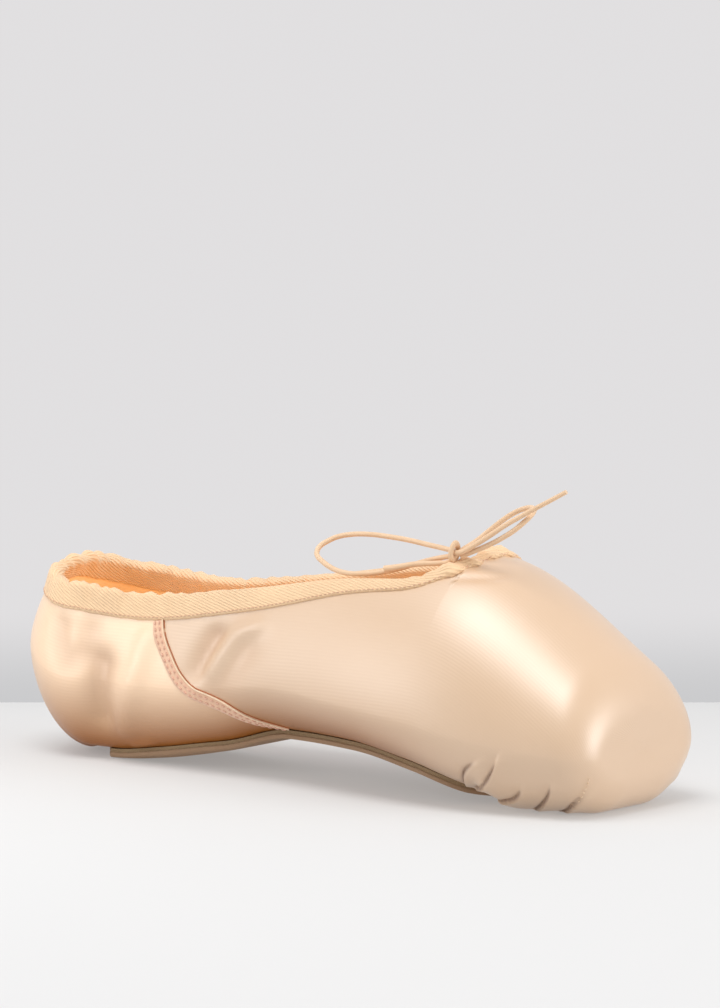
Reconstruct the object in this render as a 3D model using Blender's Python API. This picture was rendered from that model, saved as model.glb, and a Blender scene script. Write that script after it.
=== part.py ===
"""Pointe shoe on a straight last: upper, outsole, insole, collar binding and drawstring bow.

Metres, +Z up. The toe points along +X and the shoe stands on z = 0. The origin is on the floor,
midway between the heel back and the toe platform. Either foot wears it, so the shoe is the same
on both sides of y = 0, apart from the bow.
"""
import math
from collections import namedtuple

import bmesh
import bpy
import numpy as np
from mathutils import Vector

# Driving sizes, in metres
LENGTH = 0.226              # heel back to toe platform
BALL_WIDTH = 0.080          # across the widest part of the box
HEEL_HEIGHT = 0.0595        # bound collar above the floor at the heel back
INSTEP_HEIGHT = 0.072       # top line above the floor at the throat
ARCH_RISE = 0.0117          # underside of the outsole above the floor at the waist
VAMP_LENGTH = 0.056         # toe platform back to the throat
THROAT_ROUND = 0.020        # length over which the collar rounds in to the throat
TOE_ROUND = 0.0105          # radius between the vamp and the toe platform
QUARTER_WALL = 0.0016       # satin, canvas and lining
BOX_WALL = 0.0030           # the same layers, stiffened over the toes
HEM = 0.005                 # edge of the upper that is turned in over the outsole
SOLE_THICKNESS = 0.0027
SOLE_HEEL_SETBACK = 0.026   # heel back to the rear end of the outsole
SOLE_TOE_SETBACK = 0.041    # toe platform back to the front end of the outsole
SOLE_TOE_ROUND = 0.022      # length of the outsole's rounded front end
SOLE_LEAST = 0.0015         # least half width of the opening that the hem leaves
SOLE_STEP = 0.0004          # step and bevel along the outsole's edge
INSOLE_THICKNESS = 0.0020
INSOLE_TOE_SETBACK = 0.041  # toe platform back to the front end of the insole
INSOLE_TOE_ROUND = 0.030    # length of the insole's rounded front end
BINDING_WIDTH = 0.0078      # depth of the binding on each side of the collar, at the heel
BINDING_THICKNESS = 0.0008
CORD_DIAMETER = 0.0016
KNOT_HEIGHT = 0.0052
KNOT_DEPTH = 0.0044
KNOT_WIDTH = 0.0028         # along the cord
GAP = 0.0003                # clearance between pieces that touch

# Shares of LENGTH
HEEL_AXIS = 0.13            # upright axis that the heel is turned about
HEEL_HANG = (0.086, 0.104)   # run in which the satin hangs below the outsole's top, behind it
SOLE_FADE = 0.04            # run in which the underside drops to the floor in front of the outsole
WALL_THICKENS = (0.62, 0.80)
INSOLE_REACH = 1.25         # arc from the middle of the underside to the edge of the insole

# Powers of the superellipses that round the last
LOWER_FULLNESS = 1.7        # side below its widest line
HEEL_FULLNESS = 2.2         # heel seen from above
THROAT_FULLNESS = 2.6       # throat seen from above

# Sections of the last. at is a share of LENGTH. flat and half are half widths, of the flat underside
# and of the widest line, as shares of half the ball width. widest, crown and collar are heights, as
# shares of the top line's height there. crown is where the side's curve would meet over the foot, and
# fullness is that curve's superellipse power.
Section = namedtuple("Section", "at flat widest half crown collar fullness")
SECTIONS = (
    Section(0.13, 0.40, 0.42, 0.725, 1.43, 0.875, 1.50),
    Section(0.25, 0.375, 0.40, 0.70, 1.32, 0.83, 1.50),
    Section(0.36, 0.35, 0.41, 0.72, 1.25, 0.855, 1.60),
    Section(0.46, 0.32, 0.445, 0.765, 1.18, 0.885, 1.70),
    Section(0.58, 0.375, 0.42, 0.88, 1.105, 0.925, 1.80),
    Section(0.70, 0.49, 0.38, 0.985, 1.03, 0.93, 1.85),
    Section(0.80, 0.48, 0.335, 1.00, 0.96, 0.92, 1.85),
    Section(0.90, 0.375, 0.285, 0.895, 0.775, 0.75, 1.85),
    Section(1.00, 0.20, 0.255, 0.765, 0.545, 0.52, 1.95),
)
# The heel's rearmost section, in the same shares. The heel axis gives its half width.
HEEL_BACK = Section(0.0, 0.25, 0.64, None, 1.16, 1.0, 1.50)

# Height of the underside above its lowest level, as a share of ARCH_RISE
Lift = namedtuple("Lift", "at rise")
UNDERSIDE = (
    Lift(0.07, 0.08),
    Lift(0.105, 0.0),
    Lift(0.17, 0.0),
    Lift(0.25, 0.14),
    Lift(0.36, 0.52),
    Lift(0.46, 1.0),
    Lift(0.58, 0.95),
    Lift(0.70, 0.66),
    Lift(0.80, 0.18),
    Lift(0.86, 0.0),
    Lift(0.96, 0.0),
    Lift(1.00, 0.05),
)

# Half width of the outsole, as a share of half the ball width
Width = namedtuple("Width", "at half")
OUTSOLE = (
    Width(0.13, 0.20),
    Width(0.165, 0.43),
    Width(0.30, 0.46),
    Width(0.45, 0.375),
    Width(0.60, 0.475),
    Width(0.72, 0.61),
    Width(0.82, 0.65),
)

# Depth of the binding, as a share of BINDING_WIDTH
Depth = namedtuple("Depth", "at share")
BINDING = (
    Depth(0.13, 0.93),
    Depth(0.30, 0.92),
    Depth(0.50, 0.76),
    Depth(0.67, 0.50),
    Depth(0.75, 0.66),
)

# The knot's place: ahead of the throat, off the centre line, and above the top line at the throat
KNOT_AHEAD = -0.0043
KNOT_ASIDE = -0.0130
KNOT_ABOVE = 0.0016

# The knot's rounding: half widths along the cord, and the share of its full height there
KNOT_BULGE = ((0.5, 0.45), (0.42, 0.75), (0.2, 1.0))

# Routes of the bow's cord, as places measured from the knot's centre
LEFT_LOOP = (
    (-0.0018, 0.0000, 0.0005),
    (-0.0103, 0.0010, 0.0012),
    (-0.0189, 0.0015, 0.0020),
    (-0.0261, 0.0015, 0.0024),
    (-0.0320, 0.0010, 0.0026),
    (-0.0393, 0.0000, 0.0021),
    (-0.0431, -0.0015, 0.0012),
    (-0.0451, -0.0030, 0.0001),
    (-0.0468, -0.0050, -0.0015),
    (-0.0468, -0.0065, -0.0029),
    (-0.0458, -0.0075, -0.0042),
    (-0.0439, -0.0080, -0.0053),
    (-0.0395, -0.0085, -0.0072),
    (-0.0347, -0.0083, -0.0082),
    (-0.0290, -0.0070, -0.0082),
    (-0.0245, -0.0052, -0.0077),
    (-0.0190, -0.0030, -0.0063),
    (-0.0135, -0.0013, -0.0045),
    (-0.0075, -0.0003, -0.0027),
    (-0.0018, 0.0000, -0.0014),
)
LEFT_END = (
    (-0.0018, -0.0008, -0.0031),
    (-0.0042, -0.0015, -0.0035),
    (-0.0117, -0.0038, -0.0042),
    (-0.0165, -0.0055, -0.0052),
    (-0.0210, -0.0068, -0.0060),
)
RIGHT_LOOP = (
    (0.0018, 0.0010, -0.0013),
    (0.0062, 0.0014, 0.0006),
    (0.0115, 0.0020, 0.0029),
    (0.0158, 0.0026, 0.0052),
    (0.0195, 0.0034, 0.0076),
    (0.0222, 0.0046, 0.0101),
    (0.0236, 0.0066, 0.0123),
    (0.0228, 0.0090, 0.0135),
    (0.0204, 0.0106, 0.0138),
    (0.0172, 0.0112, 0.0131),
    (0.0140, 0.0104, 0.0116),
    (0.0110, 0.0088, 0.0093),
    (0.0078, 0.0066, 0.0062),
    (0.0046, 0.0042, 0.0030),
    (0.0018, 0.0016, 0.0006),
)
RIGHT_END = (
    (0.0018, -0.0006, 0.0000),
    (0.0074, 0.0002, 0.0027),
    (0.0124, 0.0010, 0.0058),
    (0.0170, 0.0022, 0.0090),
    (0.0218, 0.0034, 0.0119),
    (0.0262, 0.0044, 0.0144),
    (0.0312, 0.0056, 0.0172),
    (0.0364, 0.0066, 0.0201),
)

# Rows of faces: round the heel, from the heel axis to the throat's rounding, round the throat, over
# the vamp, the hem, the box, the toe's edge and the soles' rounded ends, then from the middle of the
# underside up to the collar or the crown, and round the knot
Rows = namedtuple("Rows", "heel waist throat vamp turn_in box tip sole_end insole_end under side knot")
ROWS = Rows(
    heel=8,
    waist=12,
    throat=9,
    vamp=3,
    turn_in=2,
    box=4,
    tip=6,
    sole_end=6,
    insole_end=5,
    under=2,
    side=15,
    knot=16,
)
SIDE_CROWDING = 1.25        # closer together towards the top
THROAT_CROWDING = 1.4       # closer together towards the throat
OUTSOLE_SHARES = (0, 0.45, 0.75, 0.88)
INSOLE_SHARES = (0, 0.5, 0.8, 0.9, 1)
TAPE_SHARES = (0, 0.5, 1)

# Colours, linear
SATIN_PEACH = (0.85, 0.60, 0.42)
TAPE_CREAM = (0.90, 0.68, 0.44)
CANVAS_TAN = (0.72, 0.42, 0.20)
LEATHER_BROWN = (0.38, 0.21, 0.12)
CORD_PEACH = (0.86, 0.58, 0.34)

# Worked out from the sizes above
HALF_BALL = BALL_WIDTH / 2
THROAT = 1 - VAMP_LENGTH / LENGTH
THROAT_START = THROAT - THROAT_ROUND / LENGTH
TAPE_COVER = GAP + BINDING_THICKNESS
TIP_START = 1 - TOE_ROUND / LENGTH
SOLE_END = 1 - SOLE_TOE_SETBACK / LENGTH
INSOLE_END = 1 - INSOLE_TOE_SETBACK / LENGTH


# Step over the last for reading its slopes, and the limits of what is read there
NUDGE = 1e-4
NEAR_MIDDLE = -1.9          # arc from which the underside's slope is read
FLAT_LIMIT = 0.9            # most of the half width that the flat underside takes
STEP_LIMIT = 0.08           # most of the half width that the outsole's step takes


class Curve:
    """A smooth curve through pairs of place and value."""

    def __init__(self, places, values):
        self.places = np.array(places, float)
        self.values = np.array(values, float)
        self.steps = np.diff(self.places)
        self.rises = np.diff(self.values) / self.steps
        self.slopes = self.even_slopes()

    def even_slopes(self):
        """Slopes that make the curvature run on through each place."""
        count = len(self.places)
        matrix = np.zeros((count, count))
        right = np.zeros(count)
        matrix[0, :2] = 2, 1
        right[0] = 3 * self.rises[0]
        for i in range(1, count - 1):
            before, after = self.steps[i - 1], self.steps[i]
            matrix[i, i - 1:i + 2] = after, 2 * (before + after), before
            right[i] = 3 * (after * self.rises[i - 1] + before * self.rises[i])
        matrix[-1, -2:] = 1, 2
        right[-1] = 3 * self.rises[-1]
        return np.linalg.solve(matrix, right)

    def __call__(self, place):
        place = min(max(place, self.places[0]), self.places[-1])
        i = min(int(np.searchsorted(self.places, place, side="right")) - 1, len(self.steps) - 1)
        step = self.steps[i]
        t = (place - self.places[i]) / step
        bend_in = (t - 2 * t**2 + t**3) * step * self.slopes[i]
        bend_out = (t**3 - t**2) * step * self.slopes[i + 1]
        blend = 3 * t**2 - 2 * t**3
        return float(self.values[i] * (1 - blend) + self.values[i + 1] * blend + bend_in + bend_out)


class LevelCurve(Curve):
    """A curve that never swings past its values, and stays level between equal ones."""

    def even_slopes(self):
        slopes = np.zeros(len(self.places))
        slopes[0], slopes[-1] = self.rises[0], self.rises[-1]
        for i in range(1, len(slopes) - 1):
            before, after = self.rises[i - 1], self.rises[i]
            if before * after > 0:
                near = 2 * self.steps[i] + self.steps[i - 1]
                far = self.steps[i] + 2 * self.steps[i - 1]
                slopes[i] = (near + far) / (near / before + far / after)
        return slopes


def column(rows, name, kind=Curve):
    """Curve through one column of a table, read at a share of LENGTH."""
    return kind([row.at for row in rows], [getattr(row, name) for row in rows])


last = {name: column(SECTIONS, name) for name in Section._fields[1:]}
lift = column(UNDERSIDE, "rise", LevelCurve)
outsole_half = column(OUTSOLE, "half", LevelCurve)
binding_depth = column(BINDING, "share", LevelCurve)


def ease(value, low, high):
    """0 below low, 1 above high, smooth between."""
    t = min(max((value - low) / (high - low), 0), 1)
    return t * t * (3 - 2 * t)


def top_line(at):
    """Height of the shoe's top line, from the heel height up to the instep height at the throat."""
    return HEEL_HEIGHT + (INSTEP_HEIGHT - HEEL_HEIGHT) * min(at / THROAT, 1)


def underside(x):
    """Height of the upper's underside: on the outsole, and near the floor behind and ahead of it."""
    at = x / LENGTH + 0.5
    on_sole = ease(at, *HEEL_HANG) * (1 - ease(at, SOLE_END, SOLE_END + SOLE_FADE))
    return ARCH_RISE * lift(at) + on_sole * (SOLE_THICKNESS + GAP)


def wall(place):
    """Thickness of the upper."""
    return QUARTER_WALL + (BOX_WALL - QUARTER_WALL) * ease(place, *WALL_THICKENS)


def turned(turn, back, side, power=2):
    """Plan radius of the heel about its axis, from back (turn 0) to side (a quarter turn)."""
    return (abs(math.cos(turn) / back)**power + abs(math.sin(turn) / side)**power)**(-1 / power)


Cut = namedtuple("Cut", "x turn flat widest half crown collar fullness inset")


def cut_at(place):
    """Sizes of the last in one upright plane.

    place is a share of LENGTH. Behind the heel axis the plane turns about it instead, from
    sideways at HEEL_AXIS to straight back at 0.
    """
    at = max(place, HEEL_AXIS)
    turn = math.pi / 2 * min(place / HEEL_AXIS, 1)
    row = {name: curve(at) for name, curve in last.items()}
    flat = HALF_BALL * row["flat"]
    half = HALF_BALL * row["half"]
    widest, crown, collar = (top_line(at) * row[name] for name in ("widest", "crown", "collar"))
    if place < HEEL_AXIS:
        to_side = math.sin(turn)**2
        flat = turned(turn, HALF_BALL * HEEL_BACK.flat, flat)
        half = turned(turn, HEEL_AXIS * LENGTH, half, HEEL_FULLNESS)
        widest += (HEEL_HEIGHT * HEEL_BACK.widest - widest) * (1 - to_side)
        crown += (HEEL_HEIGHT * HEEL_BACK.crown - crown) * (1 - to_side)
        collar += (HEEL_HEIGHT * HEEL_BACK.collar - collar) * (1 - to_side)
    into_tip = max(place - TIP_START, 0) * LENGTH
    inset = TOE_ROUND - math.sqrt(max(TOE_ROUND**2 - into_tip**2, 0))
    half -= inset
    return Cut(
        x=(at - 0.5) * LENGTH,
        turn=turn,
        flat=min(flat, half * FLAT_LIMIT),
        widest=widest,
        half=half,
        crown=crown - inset,
        collar=collar - BINDING_THICKNESS - GAP,
        fullness=row["fullness"],
        inset=inset,
    )


def in_plan(cut, radius):
    """Plan position on the cut's plane, on the side y < 0."""
    return cut.x - radius * math.cos(cut.turn), -radius * math.sin(cut.turn)


def outer(place, arc):
    """Point on the outside of the upper, on the side y < 0.

    arc is -2 at the middle of the underside, -1 at the edge of its flat, 0 on the widest line and
    1 at the top. Past 1 it runs on, over to the other side.
    """
    cut = cut_at(place)
    angle = arc * math.pi / 2
    if arc <= -1:
        x, y = in_plan(cut, cut.flat * (arc + 2))
        return Vector((x, y, underside(x) + cut.inset))
    if arc < 0:
        bottom = underside(in_plan(cut, cut.flat)[0]) + cut.inset
        x, y = in_plan(cut, cut.flat + (cut.half - cut.flat) * math.cos(angle)**(2 / LOWER_FULLNESS))
        return Vector((x, y, cut.widest - (cut.widest - bottom) * math.sin(-angle)**(2 / LOWER_FULLNESS)))
    across = math.cos(angle)
    x, y = in_plan(cut, cut.half * math.copysign(abs(across)**(2 / cut.fullness), across))
    return Vector((x, y, cut.widest + (cut.crown - cut.widest) * math.sin(angle)**(2 / cut.fullness)))


def slopes(place, arc):
    """Change of the outer point along the shoe and around it."""
    along = outer(place + NUDGE, arc) - outer(place - NUDGE, arc)
    around = outer(place, arc + NUDGE) - outer(place, arc - NUDGE)
    return along / (2 * NUDGE), around / (2 * NUDGE)


def outward(place, arc):
    """Unit vector out of the upper."""
    along, around = slopes(place, max(arc, NEAR_MIDDLE))
    return along.cross(around).normalized()


def inner(place, arc, lining=0.0):
    """Point on the inside of the upper, or further in by the thickness of what lies on it."""
    return outer(place, arc) - outward(place, arc) * (wall(place) + lining)


def arc_at_radius(place, radius):
    """arc where the underside is this far from the cut's middle."""
    cut = cut_at(place)
    if radius <= cut.flat:
        return radius / cut.flat - 2
    share = (radius - cut.flat) / (cut.half - cut.flat)
    return -math.acos(share**(LOWER_FULLNESS / 2)) / (math.pi / 2)


def collar_arc(place):
    """arc of the upper's top edge: the collar, closing in to 1 at the throat."""
    cut = cut_at(place)
    if place >= THROAT:
        return 1
    share = (cut.collar - cut.widest) / (cut.crown - cut.widest)
    arc = math.asin(share**(cut.fullness / 2)) / (math.pi / 2)
    t = max(place - THROAT_START, 0) / (THROAT - THROAT_START)
    return 1 - (1 - arc) * (1 - t**THROAT_FULLNESS)**(1 / THROAT_FULLNESS)


def sole_radius(place, margin=0.0):
    """Half width of the outsole in a cut's plane, less a margin all round."""
    cut = cut_at(place)
    half = HALF_BALL * outsole_half(max(place, HEEL_AXIS))
    if place < HEEL_AXIS:
        half = turned(cut.turn, HEEL_AXIS * LENGTH - SOLE_HEEL_SETBACK, half)
    end = rounded_end(place, SOLE_END - margin / LENGTH, (SOLE_TOE_ROUND - margin) / LENGTH)
    return max(half - margin, SOLE_LEAST) * end


def rounded_end(place, end, run):
    """Share of the full width: 1 until run before the end, then down to 0 along an ellipse."""
    t = min(max((place - end + run) / run, 0), 1)
    return math.sqrt(1 - t * t)


def evenly(start, end, count):
    """count places from start, evenly spaced, the last a step short of end."""
    return [start + (end - start) * k / count for k in range(count)]


def crowded(start, end, count, crowding):
    """count + 1 places from start to end, closer together towards the end."""
    return [start + (end - start) * (1 - (1 - k / count)**crowding) for k in range(count + 1)]


def rounding_in(start, end, count, power=2, crowding=1):
    """Places from start to end that follow a rounded end's superellipse."""
    angles = crowded(0, math.pi / 2, count, crowding)
    return [start + (end - start) * math.sin(angle)**(2 / power) for angle in angles]


def places_to(end, run, rows):
    """Places from the heel back to the rounded front end of a sole."""
    waist = evenly(HEEL_AXIS, end - run, ROWS.waist + 2)
    return HEEL_PLACES + waist + rounding_in(end - run, end, rows)


HEEL_PLACES = evenly(0, HEEL_AXIS, ROWS.heel)
TO_THROAT = rounding_in(THROAT_START, THROAT, ROWS.throat, THROAT_FULLNESS, THROAT_CROWDING)
COLLAR_PLACES = HEEL_PLACES + evenly(HEEL_AXIS, THROAT_START, ROWS.waist) + TO_THROAT


def skin(bm, columns):
    """Triangles over columns of points, from the heel to the toe, the same on both sides of y = 0."""
    for side in (1, -1):
        grid = [[bm.verts.new((p.x, p.y * side, p.z)) for p in points] for points in columns]
        for back, front in zip(grid, grid[1:]):
            for k in range(len(back) - 1):
                bm.faces.new((back[k], front[k], front[k + 1])[::side])
                bm.faces.new((back[k], front[k + 1], back[k + 1])[::side])


def cap(bm, points):
    """Flat face across the shoe, between one column of points and its mirror image."""
    pairs = [(bm.verts.new(p), bm.verts.new((p.x, -p.y, p.z))) for p in points]
    for low, high in zip(pairs, pairs[1:]):
        bm.faces.new((low[0], low[1], high[1], high[0]))


def material(name, colour, roughness):
    made = bpy.data.materials.new(name)
    made.use_nodes = True
    shader = made.node_tree.nodes["Principled BSDF"]
    shader.inputs["Base Color"].default_value = (*colour, 1)
    shader.inputs["Roughness"].default_value = roughness
    return made


def add_object(name, bm, finish):
    """Object from a bmesh, with its seam points joined."""
    bmesh.ops.remove_doubles(bm, verts=bm.verts, dist=1e-7)
    mesh = bpy.data.meshes.new(name)
    bm.to_mesh(mesh)
    bm.free()
    mesh.shade_smooth()
    mesh.materials.append(finish)
    made = bpy.data.objects.new(name, mesh)
    bpy.context.collection.objects.link(made)
    return made


def build_upper():
    """Vamp and quarters as one shell, open at the collar and under the foot, closed over the toes."""
    hem_end = SOLE_END - HEM / LENGTH
    fade_end = SOLE_END + SOLE_FADE
    to_sole_end = evenly(THROAT, hem_end, ROWS.vamp)[1:] + evenly(hem_end, SOLE_END, ROWS.turn_in)
    to_tip = evenly(SOLE_END, fade_end, ROWS.vamp) + evenly(fade_end, TIP_START, ROWS.box)
    places = COLLAR_PLACES + to_sole_end + to_tip + rounding_in(TIP_START, 1, ROWS.tip)
    outside, inside = [], []
    for place in places:
        hem = arc_at_radius(place, sole_radius(place, HEM))
        arcs = evenly(hem, -1, ROWS.under) + crowded(-1, collar_arc(place), ROWS.side, SIDE_CROWDING)
        outside.append([outer(place, arc) for arc in arcs])
        inside.append([inner(place, arc) for arc in arcs])
    bm = bmesh.new()
    skin(bm, outside)
    skin(bm, [points[::-1] for points in inside])
    cap(bm, outside[-1])
    cap(bm, inside[-1][::-1])
    edges = list(zip(places, outside, inside))
    skin(bm, [(out[-1], back[-1]) for place, out, back in edges if place <= THROAT])
    skin(bm, [(back[0], out[0]) for place, out, back in edges if place <= hem_end])
    add_object("upper", bm, material("satin", SATIN_PEACH, 0.4))


def build_outsole():
    """Thin leather sole, cupped at its edges to the upper, with a step half way up its side."""
    columns = []
    for place in places_to(SOLE_END, SOLE_TOE_ROUND / LENGTH, ROWS.sole_end):
        radius = sole_radius(place)
        step = min(SOLE_STEP, radius * STEP_LIMIT)
        across = [radius * share for share in OUTSOLE_SHARES] + [radius - step, radius]
        top = [outer(place, arc_at_radius(place, spot)) - Vector((0, 0, GAP)) for spot in across]
        under = [p - Vector((0, 0, SOLE_THICKNESS)) for p in top]
        bevelled = under[-1] + Vector((0, 0, SOLE_STEP))
        middle = under[-1] + Vector((0, 0, SOLE_THICKNESS / 2))
        stepped = under[-2] + Vector((0, 0, SOLE_THICKNESS / 2 + SOLE_STEP / 2))
        columns.append(under[:-1] + [bevelled, middle, stepped] + top[-2::-1])
    bm = bmesh.new()
    skin(bm, columns)
    add_object("outsole", bm, material("sole_leather", LEATHER_BROWN, 0.8))


def build_insole():
    """Sock and board inside the shoe, following the upper's inner wall from the heel to the toes."""
    run = INSOLE_TOE_ROUND / LENGTH
    columns = []
    for place in places_to(INSOLE_END, run, ROWS.insole_end):
        reach = INSOLE_REACH * rounded_end(place, INSOLE_END, run)
        arcs = [reach * share - 2 for share in INSOLE_SHARES]
        under = [inner(place, arc, GAP) for arc in arcs]
        top = [inner(place, arc, GAP + INSOLE_THICKNESS) for arc in arcs]
        columns.append(under + top[::-1])
    bm = bmesh.new()
    skin(bm, columns)
    add_object("insole", bm, material("canvas", CANVAS_TAN, 0.9))


def slide(place, arc, direction, distance):
    """Go a distance over the outside of the upper, and give place and arc there."""
    steps, corrections = 4, 3
    point = outer(place, arc)
    for _ in range(steps):
        normal = outward(place, arc)
        direction = (direction - normal * direction.dot(normal)).normalized()
        point = point + direction * (distance / steps)
        for _ in range(corrections):
            along, around = slopes(place, arc)
            miss = point - outer(place, arc)
            square = [[along.dot(along), along.dot(around)], [along.dot(around), around.dot(around)]]
            change = np.linalg.solve(square, (along.dot(miss), around.dot(miss)))
            place, arc = place + change[0], arc + change[1]
        point = outer(place, arc)
    return place, arc


def build_binding():
    """Tape folded over the collar's edge, down the outside and the inside."""
    edge = [outer(place, collar_arc(place)) for place in COLLAR_PLACES]
    mirrored = [Vector((p.x, -p.y, p.z)) for p in (edge[1], edge[-2])]
    outline = [mirrored[0]] + edge + [mirrored[1]]
    columns = []
    for k, place in enumerate(COLLAR_PLACES):
        arc = collar_arc(place)
        normal = outward(place, arc)
        before, after = outline[k + 1] - outline[k], outline[k + 2] - outline[k + 1]
        down = (before.normalized() + after.normalized()).cross(normal).normalized()
        depth = BINDING_WIDTH * binding_depth(place)
        spots = [slide(place, arc, down, depth * share) for share in TAPE_SHARES]
        outside = [outer(*spot) + outward(*spot) * TAPE_COVER for spot in spots]
        outside_under = [outer(*spot) + outward(*spot) * GAP for spot in spots]
        inside = [inner(*spot, TAPE_COVER) for spot in spots]
        inside_under = [inner(*spot, GAP) for spot in spots]
        over = [outside_under[0] - down * TAPE_COVER, inside_under[0] - down * TAPE_COVER]
        under = [inside_under[0] - down * GAP, outside_under[0] - down * GAP]
        back_up = inside_under[:0:-1] + under + outside_under[1:]
        columns.append(outside[::-1] + over + inside + back_up + outside[-1:])
    bm = bmesh.new()
    skin(bm, columns)
    add_object("binding", bm, material("tape", TAPE_CREAM, 0.8))


def build_knot(centre, finish):
    """The bow's knot: a turn of cord round the strands."""
    stations = [(-along, out) for along, out in KNOT_BULGE]
    stations += [(along, out) for along, out in reversed(KNOT_BULGE)]
    bm = bmesh.new()
    rings = []
    for along, out in stations:
        ring = []
        for k in range(ROWS.knot):
            angle = 2 * math.pi * k / ROWS.knot
            y, z = KNOT_DEPTH / 2 * math.sin(angle), -KNOT_HEIGHT / 2 * math.cos(angle)
            ring.append(bm.verts.new(centre + Vector((along * KNOT_WIDTH, out * y, out * z))))
        rings.append(ring)
    for back, front in zip(rings, rings[1:]):
        for k in range(ROWS.knot):
            bm.faces.new((back[k - 1], back[k], front[k], front[k - 1]))
    bm.faces.new(rings[0])
    bm.faces.new(reversed(rings[-1]))
    bmesh.ops.recalc_face_normals(bm, faces=bm.faces)
    add_object("bow_knot", bm, finish)


def build_cord(name, centre, route, finish):
    """A tube along a smooth curve through the route's points."""
    points = [centre + Vector(offset) for offset in route]
    travelled = np.cumsum([0] + [(b - a).length for a, b in zip(points, points[1:])])
    axes = [Curve(travelled, [p[axis] for p in points]) for axis in range(3)]
    count = round(travelled[-1] / (CORD_DIAMETER * 2))
    data = bpy.data.curves.new(name, "CURVE")
    data.dimensions = "3D"
    data.bevel_depth = CORD_DIAMETER / 2
    data.bevel_resolution = 2
    data.use_fill_caps = True
    spline = data.splines.new("POLY")
    spline.points.add(count)
    for k, point in enumerate(spline.points):
        place = travelled[-1] * k / count
        point.co = (*(axis(place) for axis in axes), 1)
    data.materials.append(finish)
    bpy.context.collection.objects.link(bpy.data.objects.new(name, data))


def build_bow():
    finish = material("cord", CORD_PEACH, 0.7)
    centre = Vector((THROAT * LENGTH - LENGTH / 2 + KNOT_AHEAD, KNOT_ASIDE, INSTEP_HEIGHT + KNOT_ABOVE))
    build_knot(centre, finish)
    routes = {"left_loop": LEFT_LOOP, "left_end": LEFT_END, "right_loop": RIGHT_LOOP, "right_end": RIGHT_END}
    for name, route in routes.items():
        build_cord("bow_" + name, centre, route, finish)


for old in list(bpy.data.objects):
    bpy.data.objects.remove(old, do_unlink=True)
build_upper()
build_outsole()
build_insole()
build_binding()
build_bow()
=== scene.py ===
"""Looks of the pointe shoe: satin, canvas, twill tape, sole leather and the drawstring's bow."""
import math
from collections import namedtuple
from functools import lru_cache

import bpy
import numpy as np
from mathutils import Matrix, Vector
from mathutils.bvhtree import BVHTree
from mathutils.noise import noise as noise_at


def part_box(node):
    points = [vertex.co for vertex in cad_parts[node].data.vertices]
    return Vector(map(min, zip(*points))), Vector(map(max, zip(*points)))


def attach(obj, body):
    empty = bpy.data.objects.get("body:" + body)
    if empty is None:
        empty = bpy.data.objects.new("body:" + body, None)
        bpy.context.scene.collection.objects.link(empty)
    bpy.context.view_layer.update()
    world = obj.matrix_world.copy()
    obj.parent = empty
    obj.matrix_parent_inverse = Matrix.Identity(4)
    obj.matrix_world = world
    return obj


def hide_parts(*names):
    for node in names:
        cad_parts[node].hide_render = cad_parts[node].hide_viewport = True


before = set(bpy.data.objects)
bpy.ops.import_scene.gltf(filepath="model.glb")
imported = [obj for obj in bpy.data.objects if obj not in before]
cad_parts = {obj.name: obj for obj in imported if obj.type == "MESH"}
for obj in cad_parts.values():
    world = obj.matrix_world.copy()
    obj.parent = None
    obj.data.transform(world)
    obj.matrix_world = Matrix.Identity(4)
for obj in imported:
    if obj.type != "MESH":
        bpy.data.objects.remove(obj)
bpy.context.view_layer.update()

# Camera
# A long lens looks at the outer side of the shoe, from ahead of its toe and a little above, so that
# upright lines stay upright.
AIM = Vector((0.007, 0, 0.0831))
VIEW_AZIMUTH = math.radians(38)
VIEW_RISE = math.radians(7.2)
VIEW_DISTANCE = 2.6
SENSOR_WIDTH = 36
FOCAL_LENGTH = 308.6
to_camera = Vector((
    math.sin(VIEW_AZIMUTH) * math.cos(VIEW_RISE),
    -math.cos(VIEW_AZIMUTH) * math.cos(VIEW_RISE),
    math.sin(VIEW_RISE),
))
camera_data = bpy.data.cameras.new("camera")
camera_data.sensor_width = SENSOR_WIDTH
camera_data.lens = FOCAL_LENGTH
camera_data.clip_end = 8 * VIEW_DISTANCE
camera = bpy.data.objects.new("camera", camera_data)
camera.location = AIM + to_camera * VIEW_DISTANCE
camera.rotation_euler = to_camera.to_track_quat("Z", "Y").to_euler()
bpy.context.collection.objects.link(camera)
bpy.context.scene.camera = camera

# Drawstring bow
# A thin woven cotton cord comes out of the binding at the throat and is tied in a bow. Each of its
# two strands makes one loop, goes back through the knot and ends on the other side.
CORD_DIAMETER = 0.0016
RIGHT_LOOP = (
    (0.0018, 0.0010, -0.0013),
    (0.0062, 0.0014, 0.0006),
    (0.0115, 0.0020, 0.0029),
    (0.0158, 0.0026, 0.0052),
    (0.0195, 0.0034, 0.0076),
    (0.0222, 0.0046, 0.0101),
    (0.0236, 0.0066, 0.0123),
    (0.0228, 0.0090, 0.0135),
    (0.0204, 0.0106, 0.0138),
    (0.0172, 0.0112, 0.0131),
    (0.0140, 0.0104, 0.0116),
    (0.0110, 0.0088, 0.0093),
    (0.0078, 0.0066, 0.0062),
    (0.0046, 0.0042, 0.0030),
    (0.0018, 0.0016, 0.0006),
)
LEFT_END = (
    (-0.0018, -0.0008, -0.0031),
    (-0.0042, -0.0015, -0.0035),
    (-0.0117, -0.0038, -0.0042),
    (-0.0165, -0.0055, -0.0052),
    (-0.0210, -0.0068, -0.0060),
)
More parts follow.
